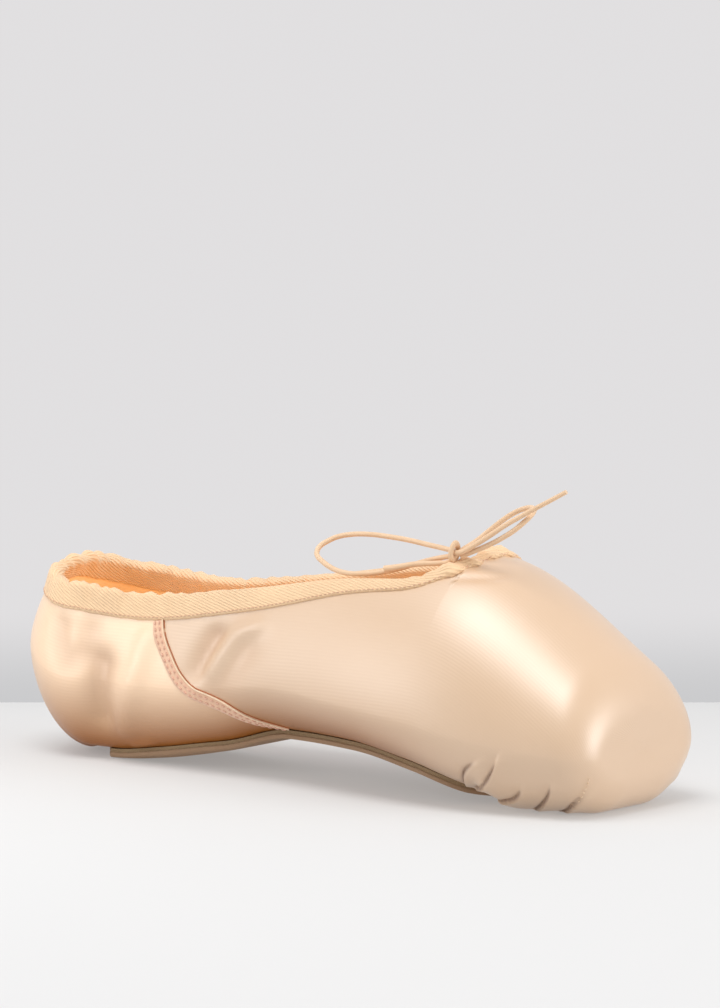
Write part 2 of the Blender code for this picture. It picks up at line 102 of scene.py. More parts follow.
LEFT_LOOP = (
    (-0.0018, 0.0000, -0.0014),
    (-0.0075, -0.0003, -0.0027),
    (-0.0135, -0.0013, -0.0045),
    (-0.0190, -0.0030, -0.0063),
    (-0.0245, -0.0052, -0.0077),
    (-0.0290, -0.0070, -0.0082),
    (-0.0347, -0.0083, -0.0082),
    (-0.0395, -0.0085, -0.0072),
    (-0.0439, -0.0080, -0.0053),
    (-0.0458, -0.0075, -0.0042),
    (-0.0468, -0.0065, -0.0029),
    (-0.0468, -0.0050, -0.0015),
    (-0.0451, -0.0030, 0.0001),
    (-0.0431, -0.0015, 0.0012),
    (-0.0393, 0.0000, 0.0021),
    (-0.0320, 0.0010, 0.0026),
    (-0.0261, 0.0015, 0.0024),
    (-0.0189, 0.0015, 0.0020),
    (-0.0103, 0.0010, 0.0012),
    (-0.0018, 0.0000, 0.0005),
)
RIGHT_END = (
    (0.0018, -0.0006, 0.0000),
    (0.0074, 0.0002, 0.0027),
    (0.0124, 0.0010, 0.0058),
    (0.0170, 0.0022, 0.0090),
    (0.0218, 0.0034, 0.0119),
    (0.0262, 0.0044, 0.0144),
    (0.0312, 0.0056, 0.0172),
    (0.0364, 0.0066, 0.0201),
)
knot_low, knot_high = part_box("bow_knot")
KNOT = (knot_low + knot_high) / 2


def new_finish(name, roughness):
    """A material, its node tree and its Principled shader."""
    made = bpy.data.materials.new(name)
    made.use_nodes = True
    shader = made.node_tree.nodes["Principled BSDF"]
    shader.inputs["Roughness"].default_value = roughness
    return made, made.node_tree, shader


def feed(tree, socket, value):
    """Link a socket's value to it, and set any other. A colour of three numbers is opaque."""
    if isinstance(value, bpy.types.NodeSocket):
        tree.links.new(value, socket)
    elif isinstance(value, tuple) and len(socket.default_value) == 4:
        socket.default_value = (*value, 1)
    else:
        socket.default_value = value


def node(tree, kind, **inputs):
    """A shader node with its inputs, by name or, as _0 and _1, by number."""
    made = tree.nodes.new(kind)
    for name, value in inputs.items():
        feed(tree, made.inputs[int(name[1:]) if name[1:].isdigit() else name.replace("_", " ")], value)
    return made


def maths(tree, operation, *values):
    made = tree.nodes.new("ShaderNodeMath")
    made.operation = operation
    for socket, value in zip(made.inputs, values):
        feed(tree, socket, value)
    return made.outputs[0]


def mixed(tree, share, first, second):
    """Colour between two, by a share."""
    made = tree.nodes.new("ShaderNodeMix")
    made.data_type = "RGBA"
    for number, value in ((0, share), (6, first), (7, second)):
        feed(tree, made.inputs[number], value)
    return made.outputs[2]


def noise(tree, place, scale, detail=2.0, roughness=0.5):
    made = node(tree, "ShaderNodeTexNoise", Vector=place, Scale=scale, Detail=detail, Roughness=roughness)
    return made.outputs["Fac"]


def scaled(tree, place, scale, turn=0.0):
    made = node(tree, "ShaderNodeMapping", Vector=place, Scale=scale, Rotation=(0, 0, turn))
    return made.outputs["Vector"]


def in_space(tree):
    """Each spot's place in metres."""
    return node(tree, "ShaderNodeTexCoord").outputs["Object"]


def on_cloth(tree):
    """Each spot's place on the flat cloth, in metres, from the piece's own UV map."""
    made = node(tree, "ShaderNodeUVMap")
    made.uv_map = "cloth"
    return made.outputs[0]


def cloth_group():
    """Yarns of a cloth: ribs along u, broken up by uneven yarns, and slow changes of tone."""
    group = bpy.data.node_groups.new("cloth", "ShaderNodeTree")
    for name, kind in (("Place", "Vector"), ("Rib Spacing", "Float"), ("Rib Height", "Float"),
                       ("Yarn Height", "Float"), ("Unevenness", "Float")):
        group.interface.new_socket(name, in_out="INPUT", socket_type="NodeSocket" + kind)
    for name in ("Height", "Yarns", "Tone"):
        group.interface.new_socket(name, in_out="OUTPUT", socket_type="NodeSocketFloat")
    start = group.nodes.new("NodeGroupInput").outputs
    end = group.nodes.new("NodeGroupOutput").inputs
    place = start["Place"]
    parts = node(group, "ShaderNodeSeparateXYZ", Vector=place)
    waver = noise(group, scaled(group, place, (60, 200, 1)), 1.0)
    across = maths(group, "DIVIDE", parts.outputs[1], start["Rib Spacing"])
    across = maths(group, "MULTIPLY_ADD", waver, start["Unevenness"], across)
    rib = maths(group, "SINE", maths(group, "MULTIPLY", across, 2 * math.pi))
    yarns = noise(group, scaled(group, place, (700, 5000, 1)), 1.0, 3.0, 0.6)
    tone = noise(group, place, 28.0, 3.0)
    height = maths(group, "MULTIPLY", maths(group, "MULTIPLY", rib, start["Rib Height"]), tone)
    height = maths(group, "MULTIPLY_ADD", yarns, start["Yarn Height"], height)
    for name, value in (("Height", height), ("Yarns", yarns), ("Tone", tone)):
        group.links.new(value, end[name])
    return group


CLOTH = cloth_group()


def cloth(tree, place, spacing, rib, yarn, uneven):
    """The cloth group's outputs at a place, for ribs this far apart and this high."""
    made = tree.nodes.new("ShaderNodeGroup")
    made.node_tree = CLOTH
    for socket, value in zip(made.inputs, (place, spacing, rib, yarn, uneven)):
        feed(tree, socket, value)
    return made.outputs


def surface_with(tree, shader, colour, strength, distance, height):
    """Give a shader its colour, and bumps of this strength, distance and height."""
    tree.links.new(colour, shader.inputs["Base Color"])
    bump = node(tree, "ShaderNodeBump", Strength=strength, Distance=distance, Height=height)
    tree.links.new(bump.outputs[0], shader.inputs["Normal"])


def cord_finish():
    """Fine polished cotton: nearly smooth, with a soft sheen and slow changes of tone."""
    made, tree, shader = new_finish("cord_cotton", 0.5)
    place = in_space(tree)
    weave = noise(tree, place, 3800.0)
    tone = noise(tree, place, 160.0)
    colour = mixed(tree, tone, (0.74, 0.49, 0.29), (0.86, 0.62, 0.41))
    colour = mixed(tree, maths(tree, "MULTIPLY", weave, 0.25), colour, (0.55, 0.33, 0.18))
    surface_with(tree, shader, colour, 0.15, 0.0001, weave)
    shader.inputs["Sheen Weight"].default_value = 0.3
    return made


def round_curve(name, radius, resolution):
    """Data of a round curve, still without points."""
    data = bpy.data.curves.new(name, "CURVE")
    data.dimensions = "3D"
    data.bevel_depth = radius
    data.bevel_resolution = resolution
    data.use_fill_caps = True
    return data


def placed(data, finish):
    """A piece from a curve's data, which rides on the shoe."""
    data.materials.append(finish)
    made = bpy.data.objects.new(data.name, data)
    bpy.context.collection.objects.link(made)
    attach(made, "root")
    return made


def strand(name, route, widths, finish):
    """One strand of the bow along its route, with its widths at the start, near the end and at the end."""
    data = round_curve(name, CORD_DIAMETER / 2, 3)
    data.resolution_u = 6
    spline = data.splines.new("BEZIER")
    spline.bezier_points.add(len(route) - 1)
    for k, (point, place) in enumerate(zip(spline.bezier_points, route)):
        point.co = KNOT + Vector(place)
        point.handle_left_type = point.handle_right_type = "AUTO"
        point.radius = np.interp(k / (len(route) - 1), (0, 0.8, 1), widths)
    made = placed(data, finish)
    return made


cord_cotton = cord_finish()
strand_a = strand("bow_right_loop_left_end", RIGHT_LOOP + LEFT_END, (1, 1, 1.2), cord_cotton)
strand_b = strand("bow_left_loop_right_end", LEFT_LOOP + RIGHT_END, (1, 1, 0.85), cord_cotton)
WRAP_RADIUS = 0.0019
WRAP_LEAN = 0.12
WRAP_TURN = 0.1
WRAP_STRETCH = 1.35
bpy.ops.object.select_all(action="DESELECT")
bpy.ops.mesh.primitive_torus_add(
    major_radius=WRAP_RADIUS,
    minor_radius=CORD_DIAMETER / 2,
    major_segments=32,
    minor_segments=12,
    location=KNOT,
    rotation=(0, math.pi / 2 + WRAP_LEAN, WRAP_TURN),
)
wrap = bpy.context.active_object
wrap.name = "bow_wrap"
bpy.ops.transform.resize(value=(1, 1, WRAP_STRETCH), center_override=KNOT)
bpy.ops.object.transform_apply(location=True, rotation=True, scale=True)
wrap.data.materials.append(cord_cotton)
wrap.data.shade_smooth()
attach(wrap, "root")
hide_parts("bow_knot")
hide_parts("bow_right_loop", "bow_left_end")
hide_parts("bow_left_loop", "bow_right_end")

# Satin upper
# Two satin quarters and a vamp are pulled over a straight last and lasted under the outsole. The last
# is rebuilt here from the imported part's own length and width, and the heights given below.
LENGTH = 2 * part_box("upper")[1].x
HEEL_HEIGHT = 0.0595
INSTEP_HEIGHT = 0.072
ARCH_RISE = 0.0117
TOE_ROUND = 0.0105
QUARTER_WALL = 0.0016
BOX_WALL = 0.0030
SATIN_THICKNESS = 0.0006
HEM = 0.005
SOLE_THICKNESS = 0.0027
SOLE_HEEL_SETBACK = 0.026
SOLE_LEAST = 0.0015
SOLE_STEP = 0.0004
TAPE_WIDTH = 0.0078
TAPE_THICKNESS = 0.0008
GAP = 0.0003
# Shares of LENGTH
HEEL_AXIS = 0.13
THROAT = 0.5 + (0.057 / LENGTH)
THROAT_START = THROAT - 0.020 / LENGTH
TIP_START = 1 - TOE_ROUND / LENGTH
SOLE_END = 0.5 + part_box("outsole")[1].x / LENGTH
HEEL_HANG = (0.086, 0.104)
SOLE_FADE = 0.04
SOLE_ROUND = 0.022
WALL_THICKENS = (0.62, 0.80)
# Powers of the superellipses
LOWER_FULLNESS = 1.7
HEEL_FULLNESS = 2.2
THROAT_FULLNESS = 2.6

# Sections of the last, at shares of LENGTH. flat and half are shares of half the ball width; widest,
# crown and collar are shares of the top line's height there.
Section = namedtuple("Section", "at flat widest half crown collar fullness")
SECTIONS = (
    Section(0.13, 0.40, 0.42, 0.725, 1.43, 0.875, 1.50),
    Section(0.25, 0.375, 0.40, 0.70, 1.32, 0.83, 1.50),
    Section(0.36, 0.35, 0.41, 0.72, 1.25, 0.855, 1.60),
    Section(0.46, 0.32, 0.445, 0.765, 1.18, 0.885, 1.70),
    Section(0.58, 0.375, 0.42, 0.88, 1.105, 0.925, 1.80),
    Section(0.70, 0.49, 0.38, 0.985, 1.03, 0.93, 1.85),
    Section(0.80, 0.48, 0.335, 1.00, 0.96, 0.92, 1.85),
    Section(0.90, 0.375, 0.285, 0.895, 0.775, 0.75, 1.85),
    Section(1.00, 0.20, 0.255, 0.765, 0.545, 0.52, 1.95),
)
HEEL_BACK = {"flat": 0.25, "widest": 0.64, "crown": 1.16, "collar": 1.0}
# Height of the underside at shares of LENGTH, as a share of ARCH_RISE
UNDERSIDE = (
    (0.07, 0.08), (0.105, 0.0), (0.17, 0.0), (0.25, 0.14), (0.36, 0.52), (0.46, 1.0),
    (0.58, 0.95), (0.70, 0.66), (0.80, 0.18), (0.86, 0.0), (0.96, 0.0), (1.00, 0.05),
)


class Curve:
    """A smooth curve through values, with even curvature or level where values repeat."""

    def __init__(self, places, values, level=False):
        self.places, self.values = np.array(places), np.array(values)
        self.steps = np.diff(self.places)
        self.rises = np.diff(self.values) / self.steps
        self.slopes = self.level_slopes() if level else self.even_slopes()

    def even_slopes(self):
        count = len(self.places)
        matrix = np.zeros((count, count))
        right = np.zeros(count)
        matrix[0, :2], right[0] = (2, 1), 3 * self.rises[0]
        matrix[-1, -2:], right[-1] = (1, 2), 3 * self.rises[-1]
        for i in range(1, count - 1):
            before, after = self.steps[i - 1], self.steps[i]
            matrix[i, i - 1:i + 2] = after, 2 * (before + after), before
            right[i] = 3 * (after * self.rises[i - 1] + before * self.rises[i])
        return np.linalg.solve(matrix, right)

    def level_slopes(self):
        slopes = np.zeros(len(self.places))
        slopes[0], slopes[-1] = self.rises[0], self.rises[-1]
        for i in range(1, len(slopes) - 1):
            before, after = self.rises[i - 1], self.rises[i]
            if before * after > 0:
                near = 2 * self.steps[i] + self.steps[i - 1]
                far = self.steps[i] + 2 * self.steps[i - 1]
                slopes[i] = (near + far) / (near / before + far / after)
        return slopes

    def __call__(self, place):
        place = min(max(place, self.places[0]), self.places[-1])
        i = min(int(np.searchsorted(self.places, place, side="right")) - 1, len(self.steps) - 1)
        step = self.steps[i]
        t = (place - self.places[i]) / step
        bend = (t - 2 * t**2 + t**3) * self.slopes[i] + (t**3 - t**2) * self.slopes[i + 1]
        blend = 3 * t**2 - 2 * t**3
        return float(self.values[i] * (1 - blend) + self.values[i + 1] * blend + bend * step)


SECTION_PLACES, *SECTION_SIZES = zip(*SECTIONS)
last = {name: Curve(SECTION_PLACES, sizes) for name, sizes in zip(Section._fields[1:], SECTION_SIZES)}
lift = Curve(*zip(*UNDERSIDE), level=True)
HALF_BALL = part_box("upper")[1].y / max(last["half"](k / 200) for k in range(201))


def ease(value, low, high):
    """0 below low, 1 above high, smooth between."""
    t = min(max((value - low) / (high - low), 0), 1)
    return t * t * (3 - 2 * t)


def underside(x):
    """Height of the upper's underside: on the outsole, and near the floor behind and ahead of it."""
    at = x / LENGTH + 0.5
    on_sole = ease(at, *HEEL_HANG) * (1 - ease(at, SOLE_END, SOLE_END + SOLE_FADE))
    return ARCH_RISE * lift(at) + on_sole * (SOLE_THICKNESS + GAP)


def wall(place):
    """Thickness of satin, canvas and lining together."""
    return QUARTER_WALL + (BOX_WALL - QUARTER_WALL) * ease(place, *WALL_THICKENS)


def turned(turn, back, side, power=2):
    """Plan radius of the heel, from its back (turn 0) to its side (a quarter turn)."""
    return (abs(math.cos(turn) / back)**power + abs(math.sin(turn) / side)**power)**(-1 / power)


WIDEST_FLAT = 0.9
Cut = namedtuple("Cut", "x turn flat widest half crown collar fullness inset")


@lru_cache(None)
def cut_at(place):
    """The last's sizes across one upright plane, which turns round the heel behind HEEL_AXIS."""
    at = max(place, HEEL_AXIS)
    turn = math.pi / 2 * min(place / HEEL_AXIS, 1)
    top = HEEL_HEIGHT + (INSTEP_HEIGHT - HEEL_HEIGHT) * min(at / THROAT, 1)
    row = {name: curve(at) for name, curve in last.items()}
    flat, half = HALF_BALL * row["flat"], HALF_BALL * row["half"]
    heights = {name: top * row[name] for name in ("widest", "crown", "collar")}
    if place < HEEL_AXIS:
        flat = turned(turn, HALF_BALL * HEEL_BACK["flat"], flat)
        half = turned(turn, HEEL_AXIS * LENGTH, half, HEEL_FULLNESS)
        for name, height in heights.items():
            heights[name] += (HEEL_HEIGHT * HEEL_BACK[name] - height) * (1 - math.sin(turn)**2)
    into_tip = min(max(place - TIP_START, 0) * LENGTH, TOE_ROUND)
    inset = TOE_ROUND - math.sqrt(max(TOE_ROUND**2 - into_tip**2, 0))
    half -= inset
    return Cut(
        x=(min(at, 1) - 0.5) * LENGTH,
        turn=turn,
        flat=min(flat, half * WIDEST_FLAT),
        widest=heights["widest"],
        half=half,
        crown=heights["crown"] - inset,
        collar=heights["collar"] - TAPE_THICKNESS - GAP,
        fullness=row["fullness"],
        inset=inset,
    )


def in_plan(cut, radius):
    """x and y at a distance from the middle of the foot."""
    return cut.x - radius * math.cos(cut.turn), -radius * math.sin(cut.turn)


def outer(place, arc):
    """Point on the satin at y < 0: arc is -2 under the foot, -1 at the flat's edge, 0 widest, 1 on top."""
    cut = cut_at(place)
    angle = arc * math.pi / 2
    if arc <= -1:
        x, y = in_plan(cut, cut.flat * (arc + 2))
        return Vector((x, y, underside(x) + cut.inset))
    if arc < 0:
        bottom = underside(in_plan(cut, cut.flat)[0]) + cut.inset
        x, y = in_plan(cut, cut.flat + (cut.half - cut.flat) * math.cos(angle)**(2 / LOWER_FULLNESS))
        return Vector((x, y, cut.widest - (cut.widest - bottom) * math.sin(-angle)**(2 / LOWER_FULLNESS)))
    across = math.cos(angle)
    x, y = in_plan(cut, cut.half * math.copysign(abs(across)**(2 / cut.fullness), across))
    return Vector((x, y, cut.widest + (cut.crown - cut.widest) * math.sin(angle)**(2 / cut.fullness)))


def slopes(place, arc, nudge=1e-4):
    """How the satin's point moves with place and with arc."""
    along = outer(place + nudge, arc) - outer(place - nudge, arc)
    around = outer(place, arc + nudge) - outer(place, arc - nudge)
    return along / (2 * nudge), around / (2 * nudge)


LAST_PLACE, FIRST_ARC = 0.9998, -1.9


def outward(place, arc):
    """Outward normal of the satin, read just inside its ends."""
    along, around = slopes(min(place, LAST_PLACE), max(arc, FIRST_ARC))
    return along.cross(around).normalized()


def inner(place, arc, depth):
    """Point at a depth under the satin."""
    return outer(place, arc) - outward(place, arc) * depth


def arc_at_radius(place, radius):
    """arc where the underside is this far from the middle."""
    cut = cut_at(place)
    if radius <= cut.flat:
        return radius / cut.flat - 2
    share = (radius - cut.flat) / (cut.half - cut.flat)
    return -math.acos(share**(LOWER_FULLNESS / 2)) / (math.pi / 2)


def collar_arc(place):
    """arc of the satin's top edge, closing in to 1 at the throat."""
    if place >= THROAT:
        return 1
    cut = cut_at(place)
    share = (cut.collar - cut.widest) / (cut.crown - cut.widest)
    arc = math.asin(share**(cut.fullness / 2)) / (math.pi / 2)
    t = max(place - THROAT_START, 0) / (THROAT - THROAT_START)
    return 1 - (1 - arc) * (1 - t**THROAT_FULLNESS)**(1 / THROAT_FULLNESS)


def evenly(start, end, count):
    """count places from start, the last a step short of end."""
    return [start + (end - start) * k / count for k in range(count)]


def crowded(start, end, count, crowding):
    """count + 1 places from start to end, closer together towards the end."""
    return [start + (end - start) * (1 - (1 - k / count)**crowding) for k in range(count + 1)]


def rounding_in(start, end, count, power=2, crowding=1):
    """Places from start to end that follow a rounded end's superellipse."""
    angles = crowded(0, math.pi / 2, count, crowding)
    return [start + (end - start) * math.sin(angle)**(2 / power) for angle in angles]


def far_side(point):
    return Vector((point.x, -point.y, point.z))


def both(columns):
    """Columns of the near side after the same ones of the far side, with the first shared."""
    return columns[::-1] + columns[1:]


def unrolled(place, column):
    """Places on the flat cloth of a column of points."""
    return [(place * LENGTH, height) for height in lengths(column)]


def mirrored(columns):
    """Columns of points of the near side after their mirror images."""
    return [[far_side(point) for point in column] for column in columns[::-1]] + columns[1:]


def lengths(points):
    """Distance travelled along points."""
    steps = [(b - a).length for a, b in zip(points, points[1:])]
    return np.concatenate(([0.0], np.cumsum(steps)))


def pulled_grid(name, columns, cloth_place):
    """A grid primitive pulled to columns of points, which go up, on the side y < 0 towards the toe.

    cloth_place gives each point's place on the flat cloth, in metres, for the UV map.
    """
    across, up = len(columns) - 1, len(columns[0]) - 1
    bpy.ops.object.select_all(action="DESELECT")
    bpy.ops.mesh.primitive_grid_add(x_subdivisions=across, y_subdivisions=up, size=1)
    made = bpy.context.active_object
    made.name = made.data.name = name
    points = np.array([[tuple(point) for point in column] for column in columns])
    made.data.vertices.foreach_set("co", points.transpose(1, 0, 2).ravel())
    corners = np.zeros(len(made.data.loops), dtype=int)
    made.data.loops.foreach_get("vertex_index", corners)
    places = np.array(cloth_place).transpose(1, 0, 2).reshape(-1, 2)
    made.data.uv_layers[0].name = "cloth"
    made.data.uv_layers[0].data.foreach_set("uv", places[corners].ravel())
    return made


def close_seams(piece):
    """Points that meet are joined, and faces without area go."""
    bpy.ops.object.mode_set(mode="EDIT")
    bpy.ops.mesh.select_all(action="SELECT")
    bpy.ops.mesh.remove_doubles(threshold=2e-6)
    bpy.ops.mesh.dissolve_degenerate(threshold=1e-6)
    bpy.ops.object.mode_set(mode="OBJECT")
    piece.data.shade_smooth()


def thicken(piece, thickness, offset):
    """Give a sheet its thickness, inward with offset -1 and outward with 1."""
    bpy.context.view_layer.objects.active = piece
    bpy.ops.object.modifier_add(type="SOLIDIFY")
    modifier = piece.modifiers[-1]
    modifier.thickness, modifier.offset = thickness, offset
    bpy.ops.object.modifier_apply(modifier=modifier.name)


def positions(piece):
    found = np.zeros(len(piece.data.vertices) * 3)
    piece.data.vertices.foreach_get("co", found)
    return found.reshape(-1, 3)


def normals(piece):
    found = np.zeros(len(piece.data.vertices) * 3)
    piece.data.vertex_normals.foreach_get("vector", found)
    return found.reshape(-1, 3)


def push_out(piece, points, outs, distances):
    """Put a piece's points at distances along their normals."""
    piece.data.vertices.foreach_set("co", (points + outs * distances[:, None]).ravel())


def store(piece, name, values):
    piece.data.attributes.new(name, "FLOAT", "POINT").data.foreach_set("value", values)


def store_columns(piece, name, columns):
    """Store one value for each point, from the near side's columns."""
    store(piece, name, np.array(both(columns)).T.ravel())


def stored(piece, name):
    found = np.zeros(len(piece.data.vertices))
    piece.data.attributes[name].data.foreach_get("value", found)
    return found


# Folds that the satin keeps, as places on it in metres. A soft fold rises or sinks by height within
# width of its line. A pleat's satin steps down along its line, over width on one side.
Fold = namedtuple("Fold", "height width line")
SOFT_FOLDS = (
    Fold(-0.0013, 0.0050, (
        (-0.0884, -0.0260, 0.0425), (-0.0881, -0.0274, 0.0365), (-0.0847, -0.0285, 0.0308),
    )),
    Fold(-0.0012, 0.0048, (
        (-0.0750, -0.0243, 0.0464), (-0.0768, -0.0259, 0.0408), (-0.0775, -0.0273, 0.0347),
    )),
    Fold(-0.0024, 0.0050, (
        (-0.0715, -0.0278, 0.0306), (-0.0728, -0.0281, 0.0228), (-0.0735, -0.0254, 0.0140),
    )),
    Fold(0.0013, 0.0038, (
        (-0.0548, -0.0256, 0.0410), (-0.0575, -0.0275, 0.0307), (-0.0612, -0.0275, 0.0205),
        (-0.0660, -0.0248, 0.0110),
    )),
    Fold(0.0008, 0.0016, ((-0.0648, -0.0197, 0.0050), (-0.0582, -0.0205, 0.0063))),
    Fold(-0.0022, 0.0046, (
        (-0.0275, -0.0268, 0.0430), (-0.0311, -0.0278, 0.0361), (-0.0325, -0.0284, 0.0309),
    )),
    Fold(0.0015, 0.0034, (
        (-0.0330, -0.0287, 0.0280), (-0.0270, -0.0282, 0.0345), (-0.0205, -0.0274, 0.0424),
        (-0.0110, -0.0264, 0.0480),
    )),
    Fold(-0.0009, 0.0056, (
        (-0.0150, -0.0281, 0.0395), (-0.0196, -0.0289, 0.0330), (-0.0245, -0.0291, 0.0260),
    )),
    Fold(0.0010, 0.0014, ((0.0760, -0.0300, 0.0082), (0.0778, -0.0312, 0.0092))),
    Fold(-0.0006, 0.0011, ((0.0564, -0.0175, 0.0663), (0.0657, -0.0127, 0.0667), (0.0728, -0.0024, 0.0667))),
)
PLEATS = (
    Fold(0.0009, 0.0048, (
        (0.0665, -0.0260, 0.0070), (0.0683, -0.0288, 0.0084), (0.0711, -0.0328, 0.0111),
        (0.0745, -0.0355, 0.0137), (0.0780, -0.0366, 0.0156),
    )),
    Fold(0.0011, 0.0046, (
        (0.0705, -0.0255, 0.0060), (0.0741, -0.0285, 0.0071), (0.0798, -0.0330, 0.0100),
        (0.0831, -0.0348, 0.0132), (0.0852, -0.0359, 0.0162),
    )),
    Fold(0.0008, 0.0044, (
        (0.0775, -0.0240, 0.0028), (0.0813, -0.0260, 0.0032), (0.0840, -0.0264, 0.0039),
        (0.0872, -0.0277, 0.0055), (0.0900, -0.0295, 0.0077),
    )),
    Fold(0.0008, 0.0046, (
        (0.0870, -0.0185, 0.0006), (0.0916, -0.0222, 0.0024), (0.0970, -0.0262, 0.0058),
        (0.1004, -0.0290, 0.0094),
    )),
    Fold(0.0008, 0.0044, (
        (0.0940, -0.0155, 0.0004), (0.0986, -0.0184, 0.0014), (0.1041, -0.0224, 0.0045),
        (0.1074, -0.0232, 0.0069),
    )),
)
FOLD_STEPS = 12
# Soft folds begin this far below the collar and reach their height over this distance.
BELOW_BINDING = 0.0068
FOLD_ONSET = 0.005
# Behind its line a pleat sinks by this share of its height, over this share of its width.
PLEAT_BACK = 0.4
PLEAT_REACH = 1.2
TUCK_WIDTH = 0.00042
TUCK_DEPTH = 0.0010
TUCK_FADE = 6
# Least downward slope for which the floor limits a fold
LEAST_DOWN = 0.01
FAR_FOLDS, FAR_PLEATS = 0.7, 0.9


def mirrored_fold(fold, share):
    """The same fold on the far side, at a share of its height."""
    line = tuple((x, -y, z) for x, y, z in fold.line)
    return fold._replace(height=fold.height * share, line=line)


SOFT_FOLDS += tuple(mirrored_fold(fold, FAR_FOLDS) for fold in SOFT_FOLDS[:-1])
PLEATS += tuple(mirrored_fold(fold, FAR_PLEATS) for fold in PLEATS)


def smooth_line(points, count):
    """count + 1 places along a smooth curve through points."""
    points = [Vector(point) for point in points]
    travelled = lengths(points)
    axes = [Curve(travelled, [point[axis] for point in points]) for axis in range(3)]
    return [Vector([curve(travelled[-1] * k / count) for curve in axes]) for k in range(count + 1)]


def surface_of(piece):
    """Search tree over a piece's faces."""
    points = [vertex.co[:] for vertex in piece.data.vertices]
    return BVHTree.FromPolygons(points, [face.vertices[:] for face in piece.data.polygons])


def from_line(points, outs, line):
    """Distance of each point from a line on the surface, the side that it lies on and how far along."""
    nearest = np.full(len(points), np.inf)
    side = np.zeros(len(points))
    along = np.zeros(len(points))
    for number, (start, end) in enumerate(zip(line, line[1:])):
        start, run = np.array(start), np.array(end - start)
        share = np.clip((points - start) @ run / (run @ run), 0, 1)
        away = points - start - share[:, None] * run
        distance = np.linalg.norm(away, axis=1)
        closer = distance < nearest
        nearest[closer] = distance[closer]
        aside = np.cross(outs, run / np.linalg.norm(run))
        side[closer] = np.einsum("ij,ij->i", away, aside)[closer]
        along[closer] = (number + share[closer]) / (len(line) - 1)
    return nearest, side, along


def fold_shift(piece):
    """How far the folds move each point along its normal, and how deep it lies in a pleat."""
    points, outs = positions(piece), normals(piece)
    surface = surface_of(piece)
    shift = np.zeros(len(points))
    tuck = np.zeros(len(points))

    def line_on(fold):
        return [surface.find_nearest(point)[0] for point in smooth_line(fold.line, FOLD_STEPS)]

    for fold in SOFT_FOLDS:
        distance, _, _ = from_line(points, outs, line_on(fold))
        shift += fold.height * np.exp(-(distance / fold.width)**2)
    shift *= np.clip((stored(piece, "below_collar") - BELOW_BINDING) / FOLD_ONSET, 0, 1)
    for fold in PLEATS:
        distance, side, along = from_line(points, outs, line_on(fold))
        to_end = np.clip((fold.width * PLEAT_REACH - distance) / fold.width, 0, 1)
        ahead = side * np.sign(fold.line[0][1]) > 0
        behind = -PLEAT_BACK * np.exp(-distance / (fold.width * PLEAT_BACK))
        step = np.where(ahead, np.exp(-distance / fold.width), behind)
        shift += fold.height * step * np.tanh(np.abs(side) / TUCK_WIDTH) * to_end
        groove = np.exp(-(distance / TUCK_WIDTH)**2) * (1 - along**TUCK_FADE)
        shift -= TUCK_DEPTH * groove
        tuck = np.maximum(tuck, groove)
    to_floor = points[:, 2] / np.maximum(-outs[:, 2], LEAST_DOWN)
    return np.minimum(shift, to_floor), tuck


# Half the outsole's width at shares of LENGTH, as a share of half the ball width
OUTSOLE_WIDTHS = (
    (0.13, 0.20), (0.165, 0.43), (0.30, 0.46), (0.45, 0.375), (0.60, 0.475), (0.72, 0.61), (0.82, 0.65),
)
outsole_half = Curve(*zip(*OUTSOLE_WIDTHS), level=True)


def rounded_end(place, end, run):
    """1 until run before the end, then down to 0 along an ellipse."""
    t = min(max((place - end + run) / run, 0), 1)
    return math.sqrt(1 - t * t)


def sole_radius(place, margin=0.0):
    """Half width of the outsole, less a margin all round."""
    half = HALF_BALL * outsole_half(max(place, HEEL_AXIS))
    if place < HEEL_AXIS:
        half = turned(cut_at(place).turn, HEEL_AXIS * LENGTH - SOLE_HEEL_SETBACK, half)
    end = rounded_end(place, SOLE_END - margin / LENGTH, (SOLE_ROUND - margin) / LENGTH)
    return max(half - margin, SOLE_LEAST) * end


Rows = namedtuple("Rows", "heel waist throat vamp box tip platform under side")
ROWS = Rows(heel=30, waist=60, throat=24, vamp=8, box=96, tip=12, platform=12, under=8, side=82)
BOX_START = 0.78
THROAT_CROWDING, SIDE_CROWDING = 1.2, 0.95
HEEL_PLACES = evenly(0, HEEL_AXIS, ROWS.heel)
TO_THROAT = rounding_in(THROAT_START, THROAT, ROWS.throat, THROAT_FULLNESS, THROAT_CROWDING)
BOX_PLACES = evenly(THROAT, BOX_START, ROWS.vamp)[1:] + evenly(BOX_START, TIP_START, ROWS.box)
BOX_PLACES += rounding_in(TIP_START, 1, ROWS.tip)
SATIN_PLACES = HEEL_PLACES + evenly(HEEL_AXIS, THROAT_START, ROWS.waist) + TO_THROAT + BOX_PLACES
# Where the satin's darker colour under the foot ends, by place and by arc: painted shade, with a little tan
# from the lasting paste
PASTE_AND_SHADE_PLACES = (0.62, 0.84)
PASTE_AND_SHADE_ARCS = (-0.85, 0.12)
# The painted shade in a soft fold's hollow is full at this depth.
HOLLOW_DEPTH = 0.0020
# The side seam, from the collar down and forward to the sole
SEAM = (
    (-0.0515, -0.0243, 0.0452), (-0.0500, -0.0256, 0.0410), (-0.0457, -0.0271, 0.0345),
    (-0.0418, -0.0281, 0.0296), (-0.0375, -0.0285, 0.0262), (-0.0322, -0.0284, 0.0242),
    (-0.0229, -0.0271, 0.0209), (-0.0142, -0.0218, 0.0169), (-0.0070, -0.0170, 0.0145),
)


def behind_seam(points):
    """Whether each point lies on a quarter, which is behind the side seam."""
    heights = [z for x, y, z in reversed(SEAM)]
    limits = [x for x, y, z in reversed(SEAM)]
    return points[:, 0] < np.interp(points[:, 2], heights, limits)


